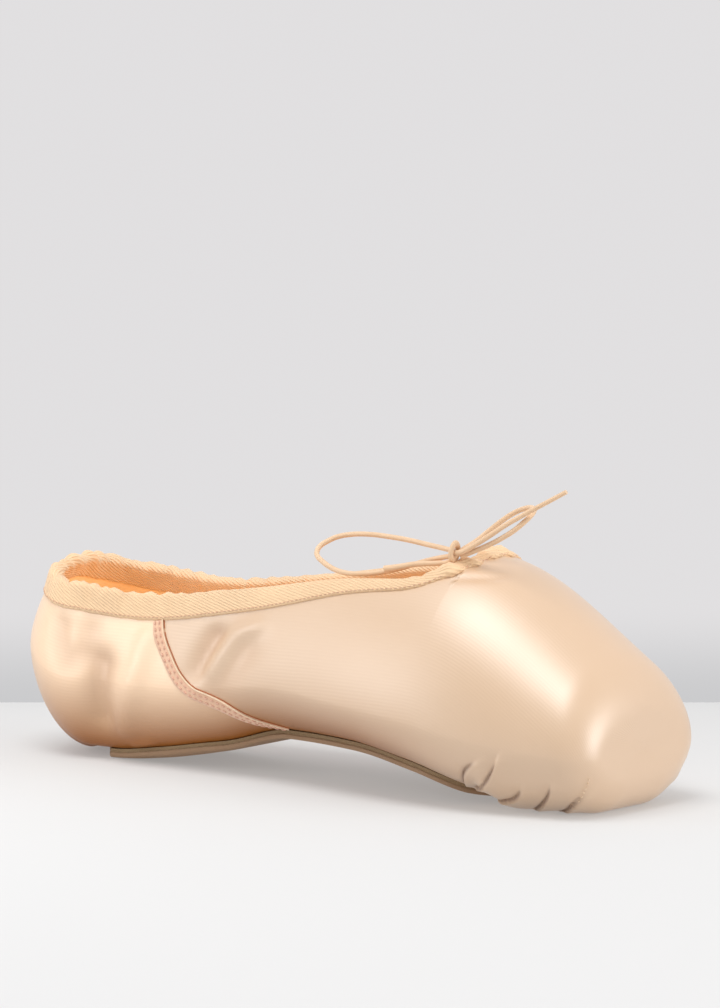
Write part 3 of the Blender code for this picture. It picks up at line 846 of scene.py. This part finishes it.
near, vamp_places, quarter_places, below, under_foot = [], [], [], [], []
for place, along in zip(SATIN_PLACES, lengths([outer(place, 0) for place in SATIN_PLACES])):
    hem = arc_at_radius(place, sole_radius(place, HEM))
    arcs = evenly(hem, -1, ROWS.under) + crowded(-1, collar_arc(place), ROWS.side, SIDE_CROWDING)
    near.append([outer(place, arc) for arc in arcs])
    # Painted shade under the foot, with a little tan from the lasting paste
    in_waist = 1 - ease(place, *PASTE_AND_SHADE_PLACES)
    under_foot.append([in_waist * (1 - ease(arc, *PASTE_AND_SHADE_ARCS)) for arc in arcs])
    up = lengths(near[-1])
    below.append([up[-1] - height for height in up])
    to_crown = lengths([outer(place, arcs[-1] + (1 - arcs[-1]) * k / 8) for k in range(9)])[-1]
    from_widest = up - np.interp(0, arcs, up)
    vamp_places.append([(along, height - up[-1] - to_crown) for height in up])
    quarter_places.append([(along, height) for height in from_widest])
edge = near[-1]
middle = Vector((edge[0].x, 0, (edge[0].z + edge[-1].z) / 2))
edge_places = vamp_places[-1]
for ring in range(1, ROWS.platform + 1):
    share = ring / ROWS.platform
    near.append([point.lerp(middle, share) for point in edge])
    reach = (edge[len(edge) // 2] - middle).length * share
    vamp_places.append([(u + reach, v) for u, v in edge_places])
    quarter_places.append(vamp_places[-1])
    below.append(below[-1])
    under_foot.append(under_foot[-1])
satin = pulled_grid("satin_upper", mirrored(near), both(vamp_places))
store_columns(satin, "below_collar", below)
store_columns(satin, "under_foot", under_foot)
# Behind the side seam the cloth's place is the quarter's
quarter_uv = np.array(both(quarter_places)).transpose(1, 0, 2).reshape(-1, 2)
corners = np.zeros(len(satin.data.loops), dtype=int)
satin.data.loops.foreach_get("vertex_index", corners)
centres = positions(satin)[corners].reshape(-1, 4, 3).mean(axis=1)
on_quarter = np.repeat(behind_seam(centres), 4)
places = np.zeros(len(corners) * 2)
satin.data.uv_layers[0].data.foreach_get("uv", places)
places = np.where(on_quarter[:, None], quarter_uv[corners], places.reshape(-1, 2))
satin.data.uv_layers[0].data.foreach_set("uv", places.ravel())
close_seams(satin)
points, outs = positions(satin), normals(satin)
shift, tuck = fold_shift(satin)
push_out(satin, points, outs, shift)
# Painted shade: the pleats' tucks are marked to be painted dark.
store(satin, "tuck", tuck)
# Painted shade: the folds' hollows, away from the pleats' tucks, are marked to be painted darker.
store(satin, "hollow_shade", np.clip(-shift / HOLLOW_DEPTH, 0, 1) * (1 - tuck))
# The quarters are marked to be painted lighter than the vamp: painted light where the heel side is lit more.
store(satin, "quarter", behind_seam(points).astype(float))
thicken(satin, SATIN_THICKNESS, -1)


def share_of(tree, name):
    """A share from 0 to 1 that is stored on the piece."""
    made = node(tree, "ShaderNodeAttribute")
    made.attribute_name = name
    return made.outputs["Fac"]


def satin_finish():
    """Peach satin: a sheen over fine ribs, painted lighter on the quarters as painted light, and with
    painted shade under the foot (with a little tan from the lasting paste), in the folds' hollows, in the
    ribs' troughs and in the pleats' tucks.
    """
    made, tree, shader = new_finish("satin", 0.38)
    weave = cloth(tree, on_cloth(tree), 0.00105, 0.55, 0.45, 0.8)
    colour = mixed(tree, weave["Tone"], (0.66, 0.445, 0.275), (0.72, 0.51, 0.34))
    # Painted light: the quarters are the same satin as the vamp, painted lighter where the heel side is lit
    # more.
    colour = mixed(tree, share_of(tree, "quarter"), colour, (0.97, 0.685, 0.445))
    under_foot = share_of(tree, "under_foot")
    # Painted shade under the foot, with a little tan from the lasting paste
    colour = mixed(tree, maths(tree, "POWER", under_foot, 0.8), colour, (0.33, 0.105, 0.012))
    # Painted shade in the soft folds' hollows
    hollow_shade = maths(tree, "MULTIPLY", share_of(tree, "hollow_shade"), 0.8)
    colour = mixed(tree, hollow_shade, colour, (0.60, 0.36, 0.20))
    # Painted shade in the ribs' troughs
    ribs = maths(tree, "MULTIPLY_ADD", weave["Height"], -0.08, 0.05)
    colour = mixed(tree, ribs, colour, (0.50, 0.30, 0.17))
    # Painted shade in the pleats' tucks
    colour = mixed(tree, share_of(tree, "tuck"), colour, (0.16, 0.045, 0.02))
    surface_with(tree, shader, colour, 0.16, 0.0002, weave["Height"])
    tree.links.new(maths(tree, "MULTIPLY_ADD", weave["Yarns"], 0.16, 0.30), shader.inputs["Roughness"])
    shader.inputs["Specular IOR Level"].default_value = 0.3
    tree.links.new(maths(tree, "MULTIPLY_ADD", under_foot, -1.0, 1.0), shader.inputs["Coat Weight"])
    shader.inputs["Coat Roughness"].default_value = 0.40
    shader.inputs["Coat IOR"].default_value = 2.0
    return made


satin.data.materials.append(satin_finish())
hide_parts("upper")
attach(satin, "root")

# Canvas lining
# The inside of the upper is cotton canvas, pasted to the satin and stiffened over the toes. Its edges
# go into the binding and under the insole.
LINING_THICKNESS = 0.0008
# The lining follows the satin's hollows, a little deeper, and none of its ridges.
LINING_SINKS = 1.15
LINING_CROWDING = 1.2
LINING_WAIST_ROWS, LINING_UNDER_ROWS, LINING_SIDE_ROWS = 40, 4, 36
LINING_PLACES = HEEL_PLACES[::2] + evenly(HEEL_AXIS, THROAT_START, LINING_WAIST_ROWS)
LINING_PLACES += TO_THROAT[::2] + BOX_PLACES[2::3]
near, places, below = [], [], []
for place in LINING_PLACES:
    hem = arc_at_radius(place, sole_radius(place, HEM))
    arcs = evenly(hem, -1, LINING_UNDER_ROWS)
    arcs += crowded(-1, collar_arc(place), LINING_SIDE_ROWS, LINING_CROWDING)
    near.append([inner(place, arc, wall(place)) for arc in arcs])
    up = lengths([outer(place, arc) for arc in arcs])
    places.append([(place * LENGTH, height) for height in up])
    below.append([up[-1] - height for height in up])
lining = pulled_grid("lining", mirrored(near), both(places))
store_columns(lining, "below_collar", below)
close_seams(lining)
points, outs = positions(lining), normals(lining)
shift, _ = fold_shift(lining)
push_out(lining, points, outs, np.minimum(shift, 0) * LINING_SINKS)
thicken(lining, LINING_THICKNESS, 1)


def canvas_finish():
    """Tan canvas that glows a little in its own colour: painted light for the light that comes through the
    cloth.
    """
    made, tree, shader = new_finish("canvas", 0.9)
    weave = cloth(tree, on_cloth(tree), 0.0007, 0.6, 0.8, 0.4)
    colour = mixed(tree, weave["Tone"], (0.98, 0.63, 0.30), (1.0, 0.72, 0.40))
    surface_with(tree, shader, colour, 0.5, 0.0003, weave["Height"])
    # Painted light: the canvas glows.
    tree.links.new(colour, shader.inputs["Emission Color"])
    shader.inputs["Emission Strength"].default_value = 0.12
    return made


canvas = canvas_finish()
lining.data.materials.append(canvas)
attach(lining, "root")

# Side seams
# On each side the satin quarter is sewn to the vamp, and a narrow cotton tape covers the join. It is
# stitched down in two rows, with piping and a dark line of thread in front.
SEAM_TAPE_WIDTH = 0.0039
SEAM_TAPE_THICKNESS = 0.0004
SEAM_TAPE_STEPS = 110
SEAM_TAPE_ROWS = 6
# Lift of the tape's middle off the satin, and how much less its edges have
SEAM_TAPE_LIFT, SEAM_TAPE_CROWN = 0.00042, 0.0008
# Stitch length as a share of the pitch, the share it takes to rise, and lifts as shares of the radius
STITCH_COVER, STITCH_RISE, STITCH_LIFT, STITCH_SINK = 0.62, 0.12, 0.5, -2.2
on_satin = surface_of(satin)


def laid(tree, point, lift=0.0):
    """The nearest spot on a surface, raised off it, and its normal."""
    spot, normal, _, _ = tree.find_nearest(point)
    return spot + normal * lift, normal


def thread(name, laid_spots, radius, finish, pitch=0.0):
    """Thread along laid spots. With a pitch it comes up for each stitch and goes down between stitches."""
    spots, outs = (np.array([tuple(item) for item in items]) for items in zip(*laid_spots))
    travelled = lengths([spot for spot, _ in laid_spots])
    steps, lifts = travelled, np.full(len(travelled), radius * STITCH_LIFT)
    if pitch:
        starts = np.arange(int(travelled[-1] / pitch))[:, None] * pitch
        turns = np.array((0, STITCH_RISE, STITCH_COVER - STITCH_RISE, STITCH_COVER))
        steps = (starts + pitch * turns).ravel()
        sunk, proud = STITCH_SINK * radius, radius * STITCH_LIFT
        lifts = np.tile((sunk, proud, proud, sunk), len(starts))
    data = round_curve(name, radius, 1)
    spline = data.splines.new("POLY")
    spline.points.add(len(steps) - 1)
    for k, (step, lift) in enumerate(zip(steps, lifts)):
        out = np.array([np.interp(step, travelled, outs[:, axis]) for axis in range(3)])
        spot = np.array([np.interp(step, travelled, spots[:, axis]) for axis in range(3)])
        spline.points[k].co = (*(spot + out / np.linalg.norm(out) * lift), 1)
    placed(data, finish)


def thread_finish(name, light, dark):
    """Thread with light and dark turns of its ply."""
    made, tree, shader = new_finish(name, 0.6)
    ply = noise(tree, in_space(tree), 3200.0)
    surface_with(tree, shader, mixed(tree, ply, dark, light), 0.3, 0.0001, ply)
    return made


pink_thread = thread_finish("thread_pink", (0.90, 0.58, 0.44), (0.55, 0.27, 0.17))
tan_thread = thread_finish("thread_tan", (0.80, 0.50, 0.34), (0.58, 0.32, 0.20))
cream_thread = thread_finish("thread_cream", (0.96, 0.80, 0.60), (0.80, 0.56, 0.36))
rust_thread = thread_finish("thread_rust", (0.62, 0.20, 0.07), (0.45, 0.12, 0.04))


# Part, place across the tape as a share of its width, lift, radius, thread and pitch
SEAM_THREADS = (
    ("_back_stitches", -0.27, 0.0004, 0.00030, pink_thread, 0.0021),
    ("_front_stitches", 0.14, 0.0004, 0.00030, pink_thread, 0.0021),
    ("_piping", 0.46, 0.0004, 0.00024, cream_thread, 0.0),
    ("_piping_line", 0.56, 0.00005, 0.00013, rust_thread, 0.0),
)


def seam_tape(name, line, finish):
    """One side's tape along its line, with its threads."""
    middle = smooth_line(line, SEAM_TAPE_STEPS)
    shares = [row / SEAM_TAPE_ROWS - 0.5 for row in range(SEAM_TAPE_ROWS + 1)]
    columns, places, runs = [], [], [[] for _ in SEAM_THREADS]
    lifts = [SEAM_TAPE_LIFT - SEAM_TAPE_CROWN * share**4 for share in shares]
    neighbours = zip(middle[:1] + middle, middle[1:] + middle[-1:])
    for point, (before, after), along in zip(middle, neighbours, lengths(middle)):
        normal = laid(on_satin, point)[1]
        across = normal.cross((after - before).normalized()).normalized() * SEAM_TAPE_WIDTH
        column = [laid(on_satin, point + across * share, lift)[0] for share, lift in zip(shares, lifts)]
        columns.append(column)
        places.append([(along, SEAM_TAPE_WIDTH * (share + 0.5)) for share in shares])
        for run, (_, share, lift, *_) in zip(runs, SEAM_THREADS):
            run.append(laid(on_satin, point + across * share, lift))
    made = pulled_grid(name, columns, places)
    thicken(made, SEAM_TAPE_THICKNESS, -1)
    made.data.shade_smooth()
    made.data.materials.append(finish)
    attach(made, "root")
    for run, (part, _, _, radius, colour, pitch) in zip(runs, SEAM_THREADS):
        thread(name + part, run, radius, colour, pitch)


def tape_finish(name, light, dark, spacing, turn, bump_strength):
    """Cotton tape with twill ribs that run slantwise over it, and painted shade in the ribs' troughs."""
    made, tree, shader = new_finish(name, 0.8)
    slanted = scaled(tree, on_cloth(tree), (1, 1, 1), turn)
    weave = cloth(tree, slanted, spacing, 0.8, 0.7, 0.25)
    colour = mixed(tree, weave["Tone"], light, tuple(value * 0.93 for value in light))
    # Painted shade: the ribs' troughs are painted towards dark.
    rib = maths(tree, "MULTIPLY_ADD", weave["Height"], -0.25, 0.35)
    colour = mixed(tree, rib, colour, dark)
    surface_with(tree, shader, colour, bump_strength, 0.0004, weave["Height"])
    shader.inputs["Sheen Weight"].default_value = 0.2
    return made


seam_cotton = tape_finish("seam_tape", (0.86, 0.58, 0.41), (0.72, 0.43, 0.28), 0.0006, 0.0, 0.2)
seam_tape("side_seam_outer", SEAM, seam_cotton)
seam_tape("side_seam_inner", tuple((x, -y, z) for x, y, z in reversed(SEAM)), seam_cotton)

# Binding
# Cotton twill tape is folded over the collar's edge and sewn through. The drawstring inside it gathers
# it round the heel and at the throat.
TWILL_THICKNESS = 0.0006
# The tape's depth over the satin at shares of LENGTH, as a share of TAPE_WIDTH
TAPE_DEPTHS = ((0.13, 0.93), (0.30, 0.92), (0.50, 0.76), (0.67, 0.46), (0.75, 0.44))
tape_depth = Curve(*zip(*TAPE_DEPTHS), level=True)


def slide(place, arc, direction, distance):
    """Go a distance over the satin, and give place and arc there."""
    steps, corrections = 4, 3
    point = outer(place, arc)
    for _ in range(steps):
        normal = outward(place, arc)
        direction = (direction - normal * direction.dot(normal)).normalized()
        point = point + direction * (distance / steps)
        for _ in range(corrections):
            along, around = slopes(place, arc)
            miss = point - outer(place, arc)
            square = [[along.dot(along), along.dot(around)], [along.dot(around), around.dot(around)]]
            change = np.linalg.solve(square, (along.dot(miss), around.dot(miss)))
            place, arc = place + float(change[0]), arc + float(change[1])
        point = outer(place, arc)
    return place, arc


TAPE_CROWDING = 1.15
TAPE_HEEL_ROWS, TAPE_SIDE_ROWS, TAPE_THROAT_ROWS = 100, 200, 70
COLLAR_PLACES = evenly(0, HEEL_AXIS, TAPE_HEEL_ROWS) + evenly(HEEL_AXIS, THROAT_START, TAPE_SIDE_ROWS)
COLLAR_PLACES += rounding_in(THROAT_START, THROAT, TAPE_THROAT_ROWS, THROAT_FULLNESS, TAPE_CROWDING)
# Rows down each side of the tape, as shares of its depth, and steps over its fold
TAPE_SHARES = (1, 0.94, 0.8, 0.6, 0.4, 0.2, 0)
FOLD_OVER = 8
# The tape thins towards its edge, which is let into the satin.
TAPE_THINS = 0.45
TAPE_LET_IN = -0.0001
edge = [outer(place, collar_arc(place)) for place in COLLAR_PLACES]
around_collar = lengths(edge)
outline = [far_side(edge[1])] + edge + [far_side(edge[-2])]
cover = GAP + TAPE_THICKNESS
near, places = [], []
for k, place in enumerate(COLLAR_PLACES):
    arc = collar_arc(place)
    normal = outward(place, arc)
    before, after = outline[k + 1] - outline[k], outline[k + 2] - outline[k + 1]
    down = (before.normalized() + after.normalized()).cross(normal).normalized()
    depth = TAPE_WIDTH * tape_depth(place)
    outside, inside = [], []
    for share in TAPE_SHARES:
        spot = slide(place, arc, down, depth * share)
        rise = cover * (1 - TAPE_THINS * share**2) if share < 1 else TAPE_LET_IN
        outside.append(outer(*spot) + outward(*spot) * rise)
        inside.append(inner(*spot, wall(spot[0]) + rise))
    middle = (outside[-1] + inside[-1]) / 2
    over = []
    for step in range(1, FOLD_OVER):
        angle = math.pi * step / FOLD_OVER
        over.append(middle + (outside[-1] - middle) * math.cos(angle) - down * math.sin(angle) * cover)
    near.append(outside + over + inside[::-1])
    places.append([(around_collar[k], v) for v in lengths(near[-1])])
whole_places = [[(-u, v) for u, v in column] for column in places[::-1]] + places[1:]
binding = pulled_grid("binding_tape", mirrored(near), whole_places)
around, across = np.array(whole_places).transpose(2, 1, 0).reshape(2, -1)
COLLAR_HALF = around_collar[-1]
# The gathers are full this far round from the heel back and from the throat, and fade out from there.
HEEL_GATHERS, HEEL_FADE = 0.045, 0.06
THROAT_GATHERS, THROAT_FADE, THROAT_SHARE = 0.034, 0.014, 1.2
THROAT_KNOB, KNOB_FADE = 0.030, 0.012
# Gathers: width, length and noise layer, and share of the height, of the large lumps and the small
LARGE_LUMPS, LARGE_SHARE = (0.0036, 0.011, 0), 1.9
SMALL_LUMPS, SMALL_SHARE = (0.0019, 0.006, 7), 0.6
GATHER_LEAN = 0.5
# Heights of the gathers all over, over the tape's fold and at the throat, and of the string's ridge
FLAT_GATHERS, FOLD_GATHERS, FRONT_GATHERS = 0.00012, 0.00075, 0.0005
STRING_RIDGE, FRONT_RIDGE = 0.00035, 0.0004
RIDGE_WIDTH = 0.22


def at_front(around, reach, fade):
    """0 to 1 over a distance that starts at reach before the throat."""
    return np.clip((np.abs(around) - (COLLAR_HALF - reach)) / fade, 0, 1)


def gather_share(around):
    """How much the drawstring gathers the tape, from its distance from the heel back."""
    back = 1 - np.clip((np.abs(around) - HEEL_GATHERS) / HEEL_FADE, 0, 1)
    return np.maximum(back, at_front(around, THROAT_GATHERS, THROAT_FADE) * THROAT_SHARE)


def lumps(around, across, wide, long, layer):
    return np.array([noise_at(Vector((u / wide, v / long, layer))) for u, v in zip(around, across)])


def puckers(around, across):
    """Height of the gathers: lumps of uneven length, drawn out across the tape."""
    lean = around + across * GATHER_LEAN
    return lumps(lean, across, *LARGE_LUMPS) * LARGE_SHARE + lumps(lean, across, *SMALL_LUMPS) * SMALL_SHARE


total = np.interp(np.abs(around), around_collar, [lengths(column)[-1] for column in near])
over_edge = np.exp(-((across / total - 0.5) / RIDGE_WIDTH)**2)
points, outs = positions(binding), normals(binding)
# The tape bunches in a knob under the knot, and stands up over the drawstring
BUNCH = Vector((0.0006, -0.0022, -0.0048))
BUNCH_HEIGHT, BUNCH_WIDTH = 0.0020, 0.0030
at_throat = at_front(around, THROAT_KNOB, KNOB_FADE)
gathered = gather_share(around)
heights = FLAT_GATHERS + FOLD_GATHERS * over_edge + FRONT_GATHERS * at_throat
height = puckers(around, across) * gathered * heights
string = (STRING_RIDGE + FRONT_RIDGE * at_throat) * over_edge * gathered
from_knot = np.linalg.norm(points - np.array(KNOT + BUNCH), axis=1)
bunch = BUNCH_HEIGHT * np.exp(-(from_knot / BUNCH_WIDTH)**2)
push_out(binding, points, outs, height + string + bunch)
close_seams(binding)
thicken(binding, TWILL_THICKNESS, -1)
twill = tape_finish("twill_tape", (0.97, 0.70, 0.44), (0.74, 0.44, 0.22), 0.00085, math.radians(24), 0.7)
binding.data.materials.append(twill)
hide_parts("binding")
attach(binding, "root")
on_tape = surface_of(binding)
seam_line = [column[1].lerp(column[2], 0.5) for column in both(near)]
for k, point in enumerate(seam_line[:len(near) - 1]):
    seam_line[k] = far_side(point)
thread("binding_stitches", [laid(on_tape, point) for point in seam_line], 0.00016, tan_thread, pitch=0.0016)

# Box fuzz
# Ends of the cotton thread that gathers the satin round the box, which stick out of it beside the
# last pleat and lie on the cloth.
FUZZ_ARCH = 0.0008
LOOSE_ENDS = (
    ((0.1106, -0.0238, 0.0127), (0.1112, -0.0247, 0.0121)),
    ((0.1101, -0.0236, 0.0112), (0.1108, -0.0246, 0.0108)),
    ((0.1096, -0.0236, 0.0099), (0.1099, -0.0246, 0.0094)),
    ((0.1086, -0.0234, 0.0086), (0.1090, -0.0244, 0.0082)),
    ((0.1078, -0.0231, 0.0072), (0.1079, -0.0242, 0.0069)),
    ((0.1063, -0.0222, 0.0057), (0.1066, -0.0234, 0.0055)),
)
for number, (root, tip) in enumerate(LOOSE_ENDS, 1):
    arched = []
    for share, bend in zip((0, 0.5, 1), (0.1, 0.5, 0.9)):
        spot, out = laid(on_satin, Vector(root).lerp(Vector(tip), share))
        arched.append((spot + out * FUZZ_ARCH * math.sin(math.pi * bend), out))
    thread(f"box_fuzz_{number}", arched, 0.00015, cream_thread)

# Outsole
# A thin leather sole is cut smaller than the foot and glued on over the lasted satin. Its edge shows
# a rubbed upper half and a paler lower one, with fluff and loose fibres where the satin tucks under.
FLUFF_GRAIN = 1500
SOLE_WAIST_ROWS, SOLE_END_ROWS = 200, 24
# Rows of the sole as shares of its radius; and up its edge, with the share of the rubbed half there
SOLE_ACROSS = (0, 0.25, 0.5, 0.7, 0.85, 0.95)
SOLE_EDGE = ((0.10, 0), (0.2, 0), (0.35, 0), (0.48, 0.2), (0.55, 0.8), (0.62, 1), (0.78, 1), (0.94, 1))
SOLE_PLACES = evenly(0, HEEL_AXIS, SOLE_END_ROWS)
SOLE_PLACES += evenly(HEEL_AXIS, SOLE_END - SOLE_ROUND / LENGTH, SOLE_WAIST_ROWS)
SOLE_PLACES += rounding_in(SOLE_END - SOLE_ROUND / LENGTH, SOLE_END, SOLE_END_ROWS)
columns, split, places = [], [], []
for place in SOLE_PLACES:
    radius = sole_radius(place)
    step = min(SOLE_STEP, radius * 0.3)
    across = [radius * share for share in SOLE_ACROSS] + [radius - step, radius]
    top = [outer(place, arc_at_radius(place, spot)) - Vector((0, 0, GAP)) for spot in across]
    under = [point - Vector((0, 0, SOLE_THICKNESS)) for point in top]
    rim = []
    for share, _ in SOLE_EDGE:
        lower, upper = (under[-1], top[-1]) if share < 0.5 else (under[-2], top[-2])
        spot = lower.lerp(upper, share)
        fluff = noise_at(spot * FLUFF_GRAIN) * (0.5 if 0.4 < share < 0.7 else 0.25)
        rim.append(spot + (under[-2] - under[-1]) * fluff)
    columns.append(under[:-1] + rim + top[-2::-1])
    split.append([0] * (len(under) - 1) + [rubbed for _, rubbed in SOLE_EDGE] + [1] * (len(top) - 1))
    places.append(unrolled(place, columns[-1]))
outsole = pulled_grid("outsole_leather", mirrored(columns), both(places))
store_columns(outsole, "split", split)
close_seams(outsole)


def leather_finish():
    """Suede-like leather: tan underneath, and the edge's two halves."""
    made, tree, shader = new_finish("sole_leather", 0.85)
    spot = in_space(tree)
    grain = noise(tree, spot, 1400.0, 4.0, 0.6)
    patches = noise(tree, spot, 60.0, 3.0)
    fluff = noise(tree, spot, 3000.0, 2.0, 0.7)
    below = mixed(tree, patches, (0.28, 0.165, 0.095), (0.38, 0.24, 0.145))
    above = mixed(tree, fluff, (0.11, 0.065, 0.028), (0.42, 0.29, 0.155))
    colour = mixed(tree, share_of(tree, "split"), below, above)
    colour = mixed(tree, maths(tree, "MULTIPLY", grain, 0.25), colour, (0.56, 0.40, 0.25))
    surface_with(tree, shader, colour, 0.6, 0.0003, grain)
    return made


outsole.data.materials.append(leather_finish())
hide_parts("outsole")
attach(outsole, "root")
dark_fibre = thread_finish("fibre_dark", (0.28, 0.17, 0.09), (0.10, 0.05, 0.02))
# Each fibre's x at its root, then its run along the edge, its reach out, its bend and its rise
FIBRES = (
    (-0.0060, 0.0010, 0.0004, -0.0002, 0.0009), (-0.0035, -0.0012, 0.0006, -0.0004, 0.0002),
    (-0.0010, 0.0014, 0.0002, -0.0006, 0.0003), (0.0015, -0.0008, 0.0008, 0.0002, 0.0010),
    (0.0040, 0.0016, 0.0003, -0.0004, 0.0001), (0.0065, 0.0008, 0.0007, -0.0007, 0.0005),
    (0.0090, -0.0014, 0.0002, 0.0003, 0.0006), (0.0160, 0.0015, 0.0005, -0.0004, 0.0003),
    (0.0320, 0.0010, 0.0006, 0.0004, 0.0002), (0.0470, -0.0012, 0.0005, -0.0002, 0.0005),
)
for number, (x, run, out, bend, up) in enumerate(FIBRES, 1):
    place = x / LENGTH + 0.5
    start = outer(place, arc_at_radius(place, sole_radius(place) - SOLE_STEP))
    route = []
    for t in (0, 0.3, 0.6, 1):
        spot = start + Vector((run * t, -out * math.sin(2 * t) - 0.0003, bend * t * t + up * t))
        route.append((spot, Vector((0, -1, 0))))
    thread(f"sole_fibre_{number}", route, 0.00007, dark_fibre)

# Insole
# A canvas sock is glued to the shank board inside the shoe. It covers the lining's turned edges and
# cups up a little round the foot.
INSOLE_THICKNESS = 0.0020
INSOLE_REACH = 1.25
INSOLE_ROUND = 0.030 / LENGTH
INSOLE_SETBACK = 0.041
INSOLE_END = 1 - INSOLE_SETBACK / LENGTH
INSOLE_WAIST_ROWS, INSOLE_END_ROWS = 80, 20
INSOLE_ACROSS = (0, 0.2, 0.4, 0.6, 0.75, 0.88, 0.96, 1)
INSOLE_RIM = (0.3, 0.7)
INSOLE_PLACES = HEEL_PLACES + evenly(HEEL_AXIS, INSOLE_END - INSOLE_ROUND, INSOLE_WAIST_ROWS)
INSOLE_PLACES += rounding_in(INSOLE_END - INSOLE_ROUND, INSOLE_END, INSOLE_END_ROWS)
columns, places = [], []
for place in INSOLE_PLACES:
    reach = INSOLE_REACH * rounded_end(place, INSOLE_END, INSOLE_ROUND)
    arcs = [reach * share - 2 for share in INSOLE_ACROSS]
    under = [inner(place, arc, wall(place) + GAP) for arc in arcs]
    top = [inner(place, arc, wall(place) + GAP + INSOLE_THICKNESS) for arc in arcs]
    rim = [under[-1].lerp(top[-1], share) for share in INSOLE_RIM]
    columns.append(under + rim + top[::-1])
    places.append(unrolled(place, columns[-1]))
insole = pulled_grid("insole_sock", mirrored(columns), both(places))
close_seams(insole)
insole.data.materials.append(canvas)
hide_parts("insole")
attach(insole, "root")

# Floor and backdrop
# A white studio: a pale grey wall close behind the shoe, clear when it is seen from behind and painted
# darker near the floor as painted shade, and a paper floor that brightens to the front, painted darker
# towards the wall as painted shade.
bpy.context.scene.view_settings.view_transform = "Standard"
WALL_BEHIND = 0.152
STUDIO_SIZE = 8
FLOOR_DROP = 0.0001
LAMP_DISTANCE = 1.6


def graded(tree, value, start, end, first, second):
    """Colour that goes from first at start to second at end."""
    share = node(tree, "ShaderNodeMapRange", Value=value)
    share.interpolation_type = "SMOOTHSTEP"
    share.inputs["From Min"].default_value = start
    share.inputs["From Max"].default_value = end
    return mixed(tree, share.outputs[0], first, second)


level_to_camera = Vector((to_camera.x, to_camera.y, 0)).normalized()
level_right = Vector((-level_to_camera.y, level_to_camera.x, 0))


def plane(name):
    bpy.ops.object.select_all(action="DESELECT")
    bpy.ops.mesh.primitive_plane_add(size=STUDIO_SIZE)
    made = bpy.context.active_object
    made.name = name
    return made


wall_plane = plane("backdrop")
foot = AIM - level_to_camera * WALL_BEHIND
for vertex in wall_plane.data.vertices:
    up = Vector((0, 0, vertex.co.y + STUDIO_SIZE / 2))
    vertex.co = Vector((foot.x, foot.y, 0)) + level_right * vertex.co.x + up
wall_paper = bpy.data.materials.new("wall_paper")
wall_paper.use_nodes = True
tree = wall_paper.node_tree
tree.nodes.clear()
height = node(tree, "ShaderNodeSeparateXYZ", Vector=in_space(tree)).outputs[2]
# Painted shade: the wall is darker near the floor.
tone = graded(tree, height, 0.0, 0.032, (0.60, 0.60, 0.61), (0.755, 0.742, 0.75))
glow = node(tree, "ShaderNodeEmission", Color=tone)
clear = node(tree, "ShaderNodeBsdfTransparent")
behind = node(tree, "ShaderNodeNewGeometry").outputs["Backfacing"]
wall_mix = node(tree, "ShaderNodeMixShader", _0=behind, _1=glow.outputs[0], _2=clear.outputs[0])
node(tree, "ShaderNodeOutputMaterial", Surface=wall_mix.outputs[0])
wall_plane.data.materials.append(wall_paper)
floor = plane("floor")
for vertex in floor.data.vertices:
    vertex.co.z = -FLOOR_DROP
paper, tree, shader = new_finish("floor_paper", 0.9)
forward = node(tree, "ShaderNodeVectorMath", _0=in_space(tree), _1=tuple(level_to_camera))
forward.operation = "DOT_PRODUCT"
# Painted shade: the floor is darker towards the wall.
tone = graded(tree, forward.outputs["Value"], -0.15, 0.03, (0.42, 0.42, 0.42), (0.475, 0.475, 0.475))
tree.links.new(tone, shader.inputs["Base Color"])
shader.inputs["Emission Color"].default_value = (1, 1, 1, 1)
shader.inputs["Emission Strength"].default_value = 0.26
floor.data.materials.append(paper)

to_right = Vector((math.cos(VIEW_AZIMUTH), math.sin(VIEW_AZIMUTH), 0))
up_in_view = to_camera.cross(to_right)


def lamp(name, right, up, back, width, height, power, distance=LAMP_DISTANCE):
    """A soft box that faces the shoe, in a direction given as seen from the camera."""
    direction = (to_right * right + up_in_view * up + to_camera * back).normalized()
    data = bpy.data.lights.new(name, "AREA")
    data.shape = "RECTANGLE"
    data.size, data.size_y = width, height
    data.energy = power
    made = bpy.data.objects.new(name, data)
    made.location = AIM + direction * distance
    made.rotation_euler = direction.to_track_quat("Z", "Y").to_euler()
    bpy.context.collection.objects.link(made)


lamp("key", -0.18, 0.86, 0.34, 1.2, 0.75, 16.0)
lamp("left", -0.97, 0.05, -0.05, 0.8, 0.9, 3.5)
lamp("heel", -0.90, 0.16, 0.30, 0.22, 0.22, 0.17, distance=0.32)
lamp("right", 0.90, 0.07, 0.42, 0.8, 1.0, 12.0)
world = bpy.data.worlds.new("world")
world.use_nodes = True
sky = world.node_tree.nodes["Background"].inputs
sky["Color"].default_value = (1, 0.99, 0.98, 1)
sky["Strength"].default_value = 0.60
bpy.context.scene.world = world
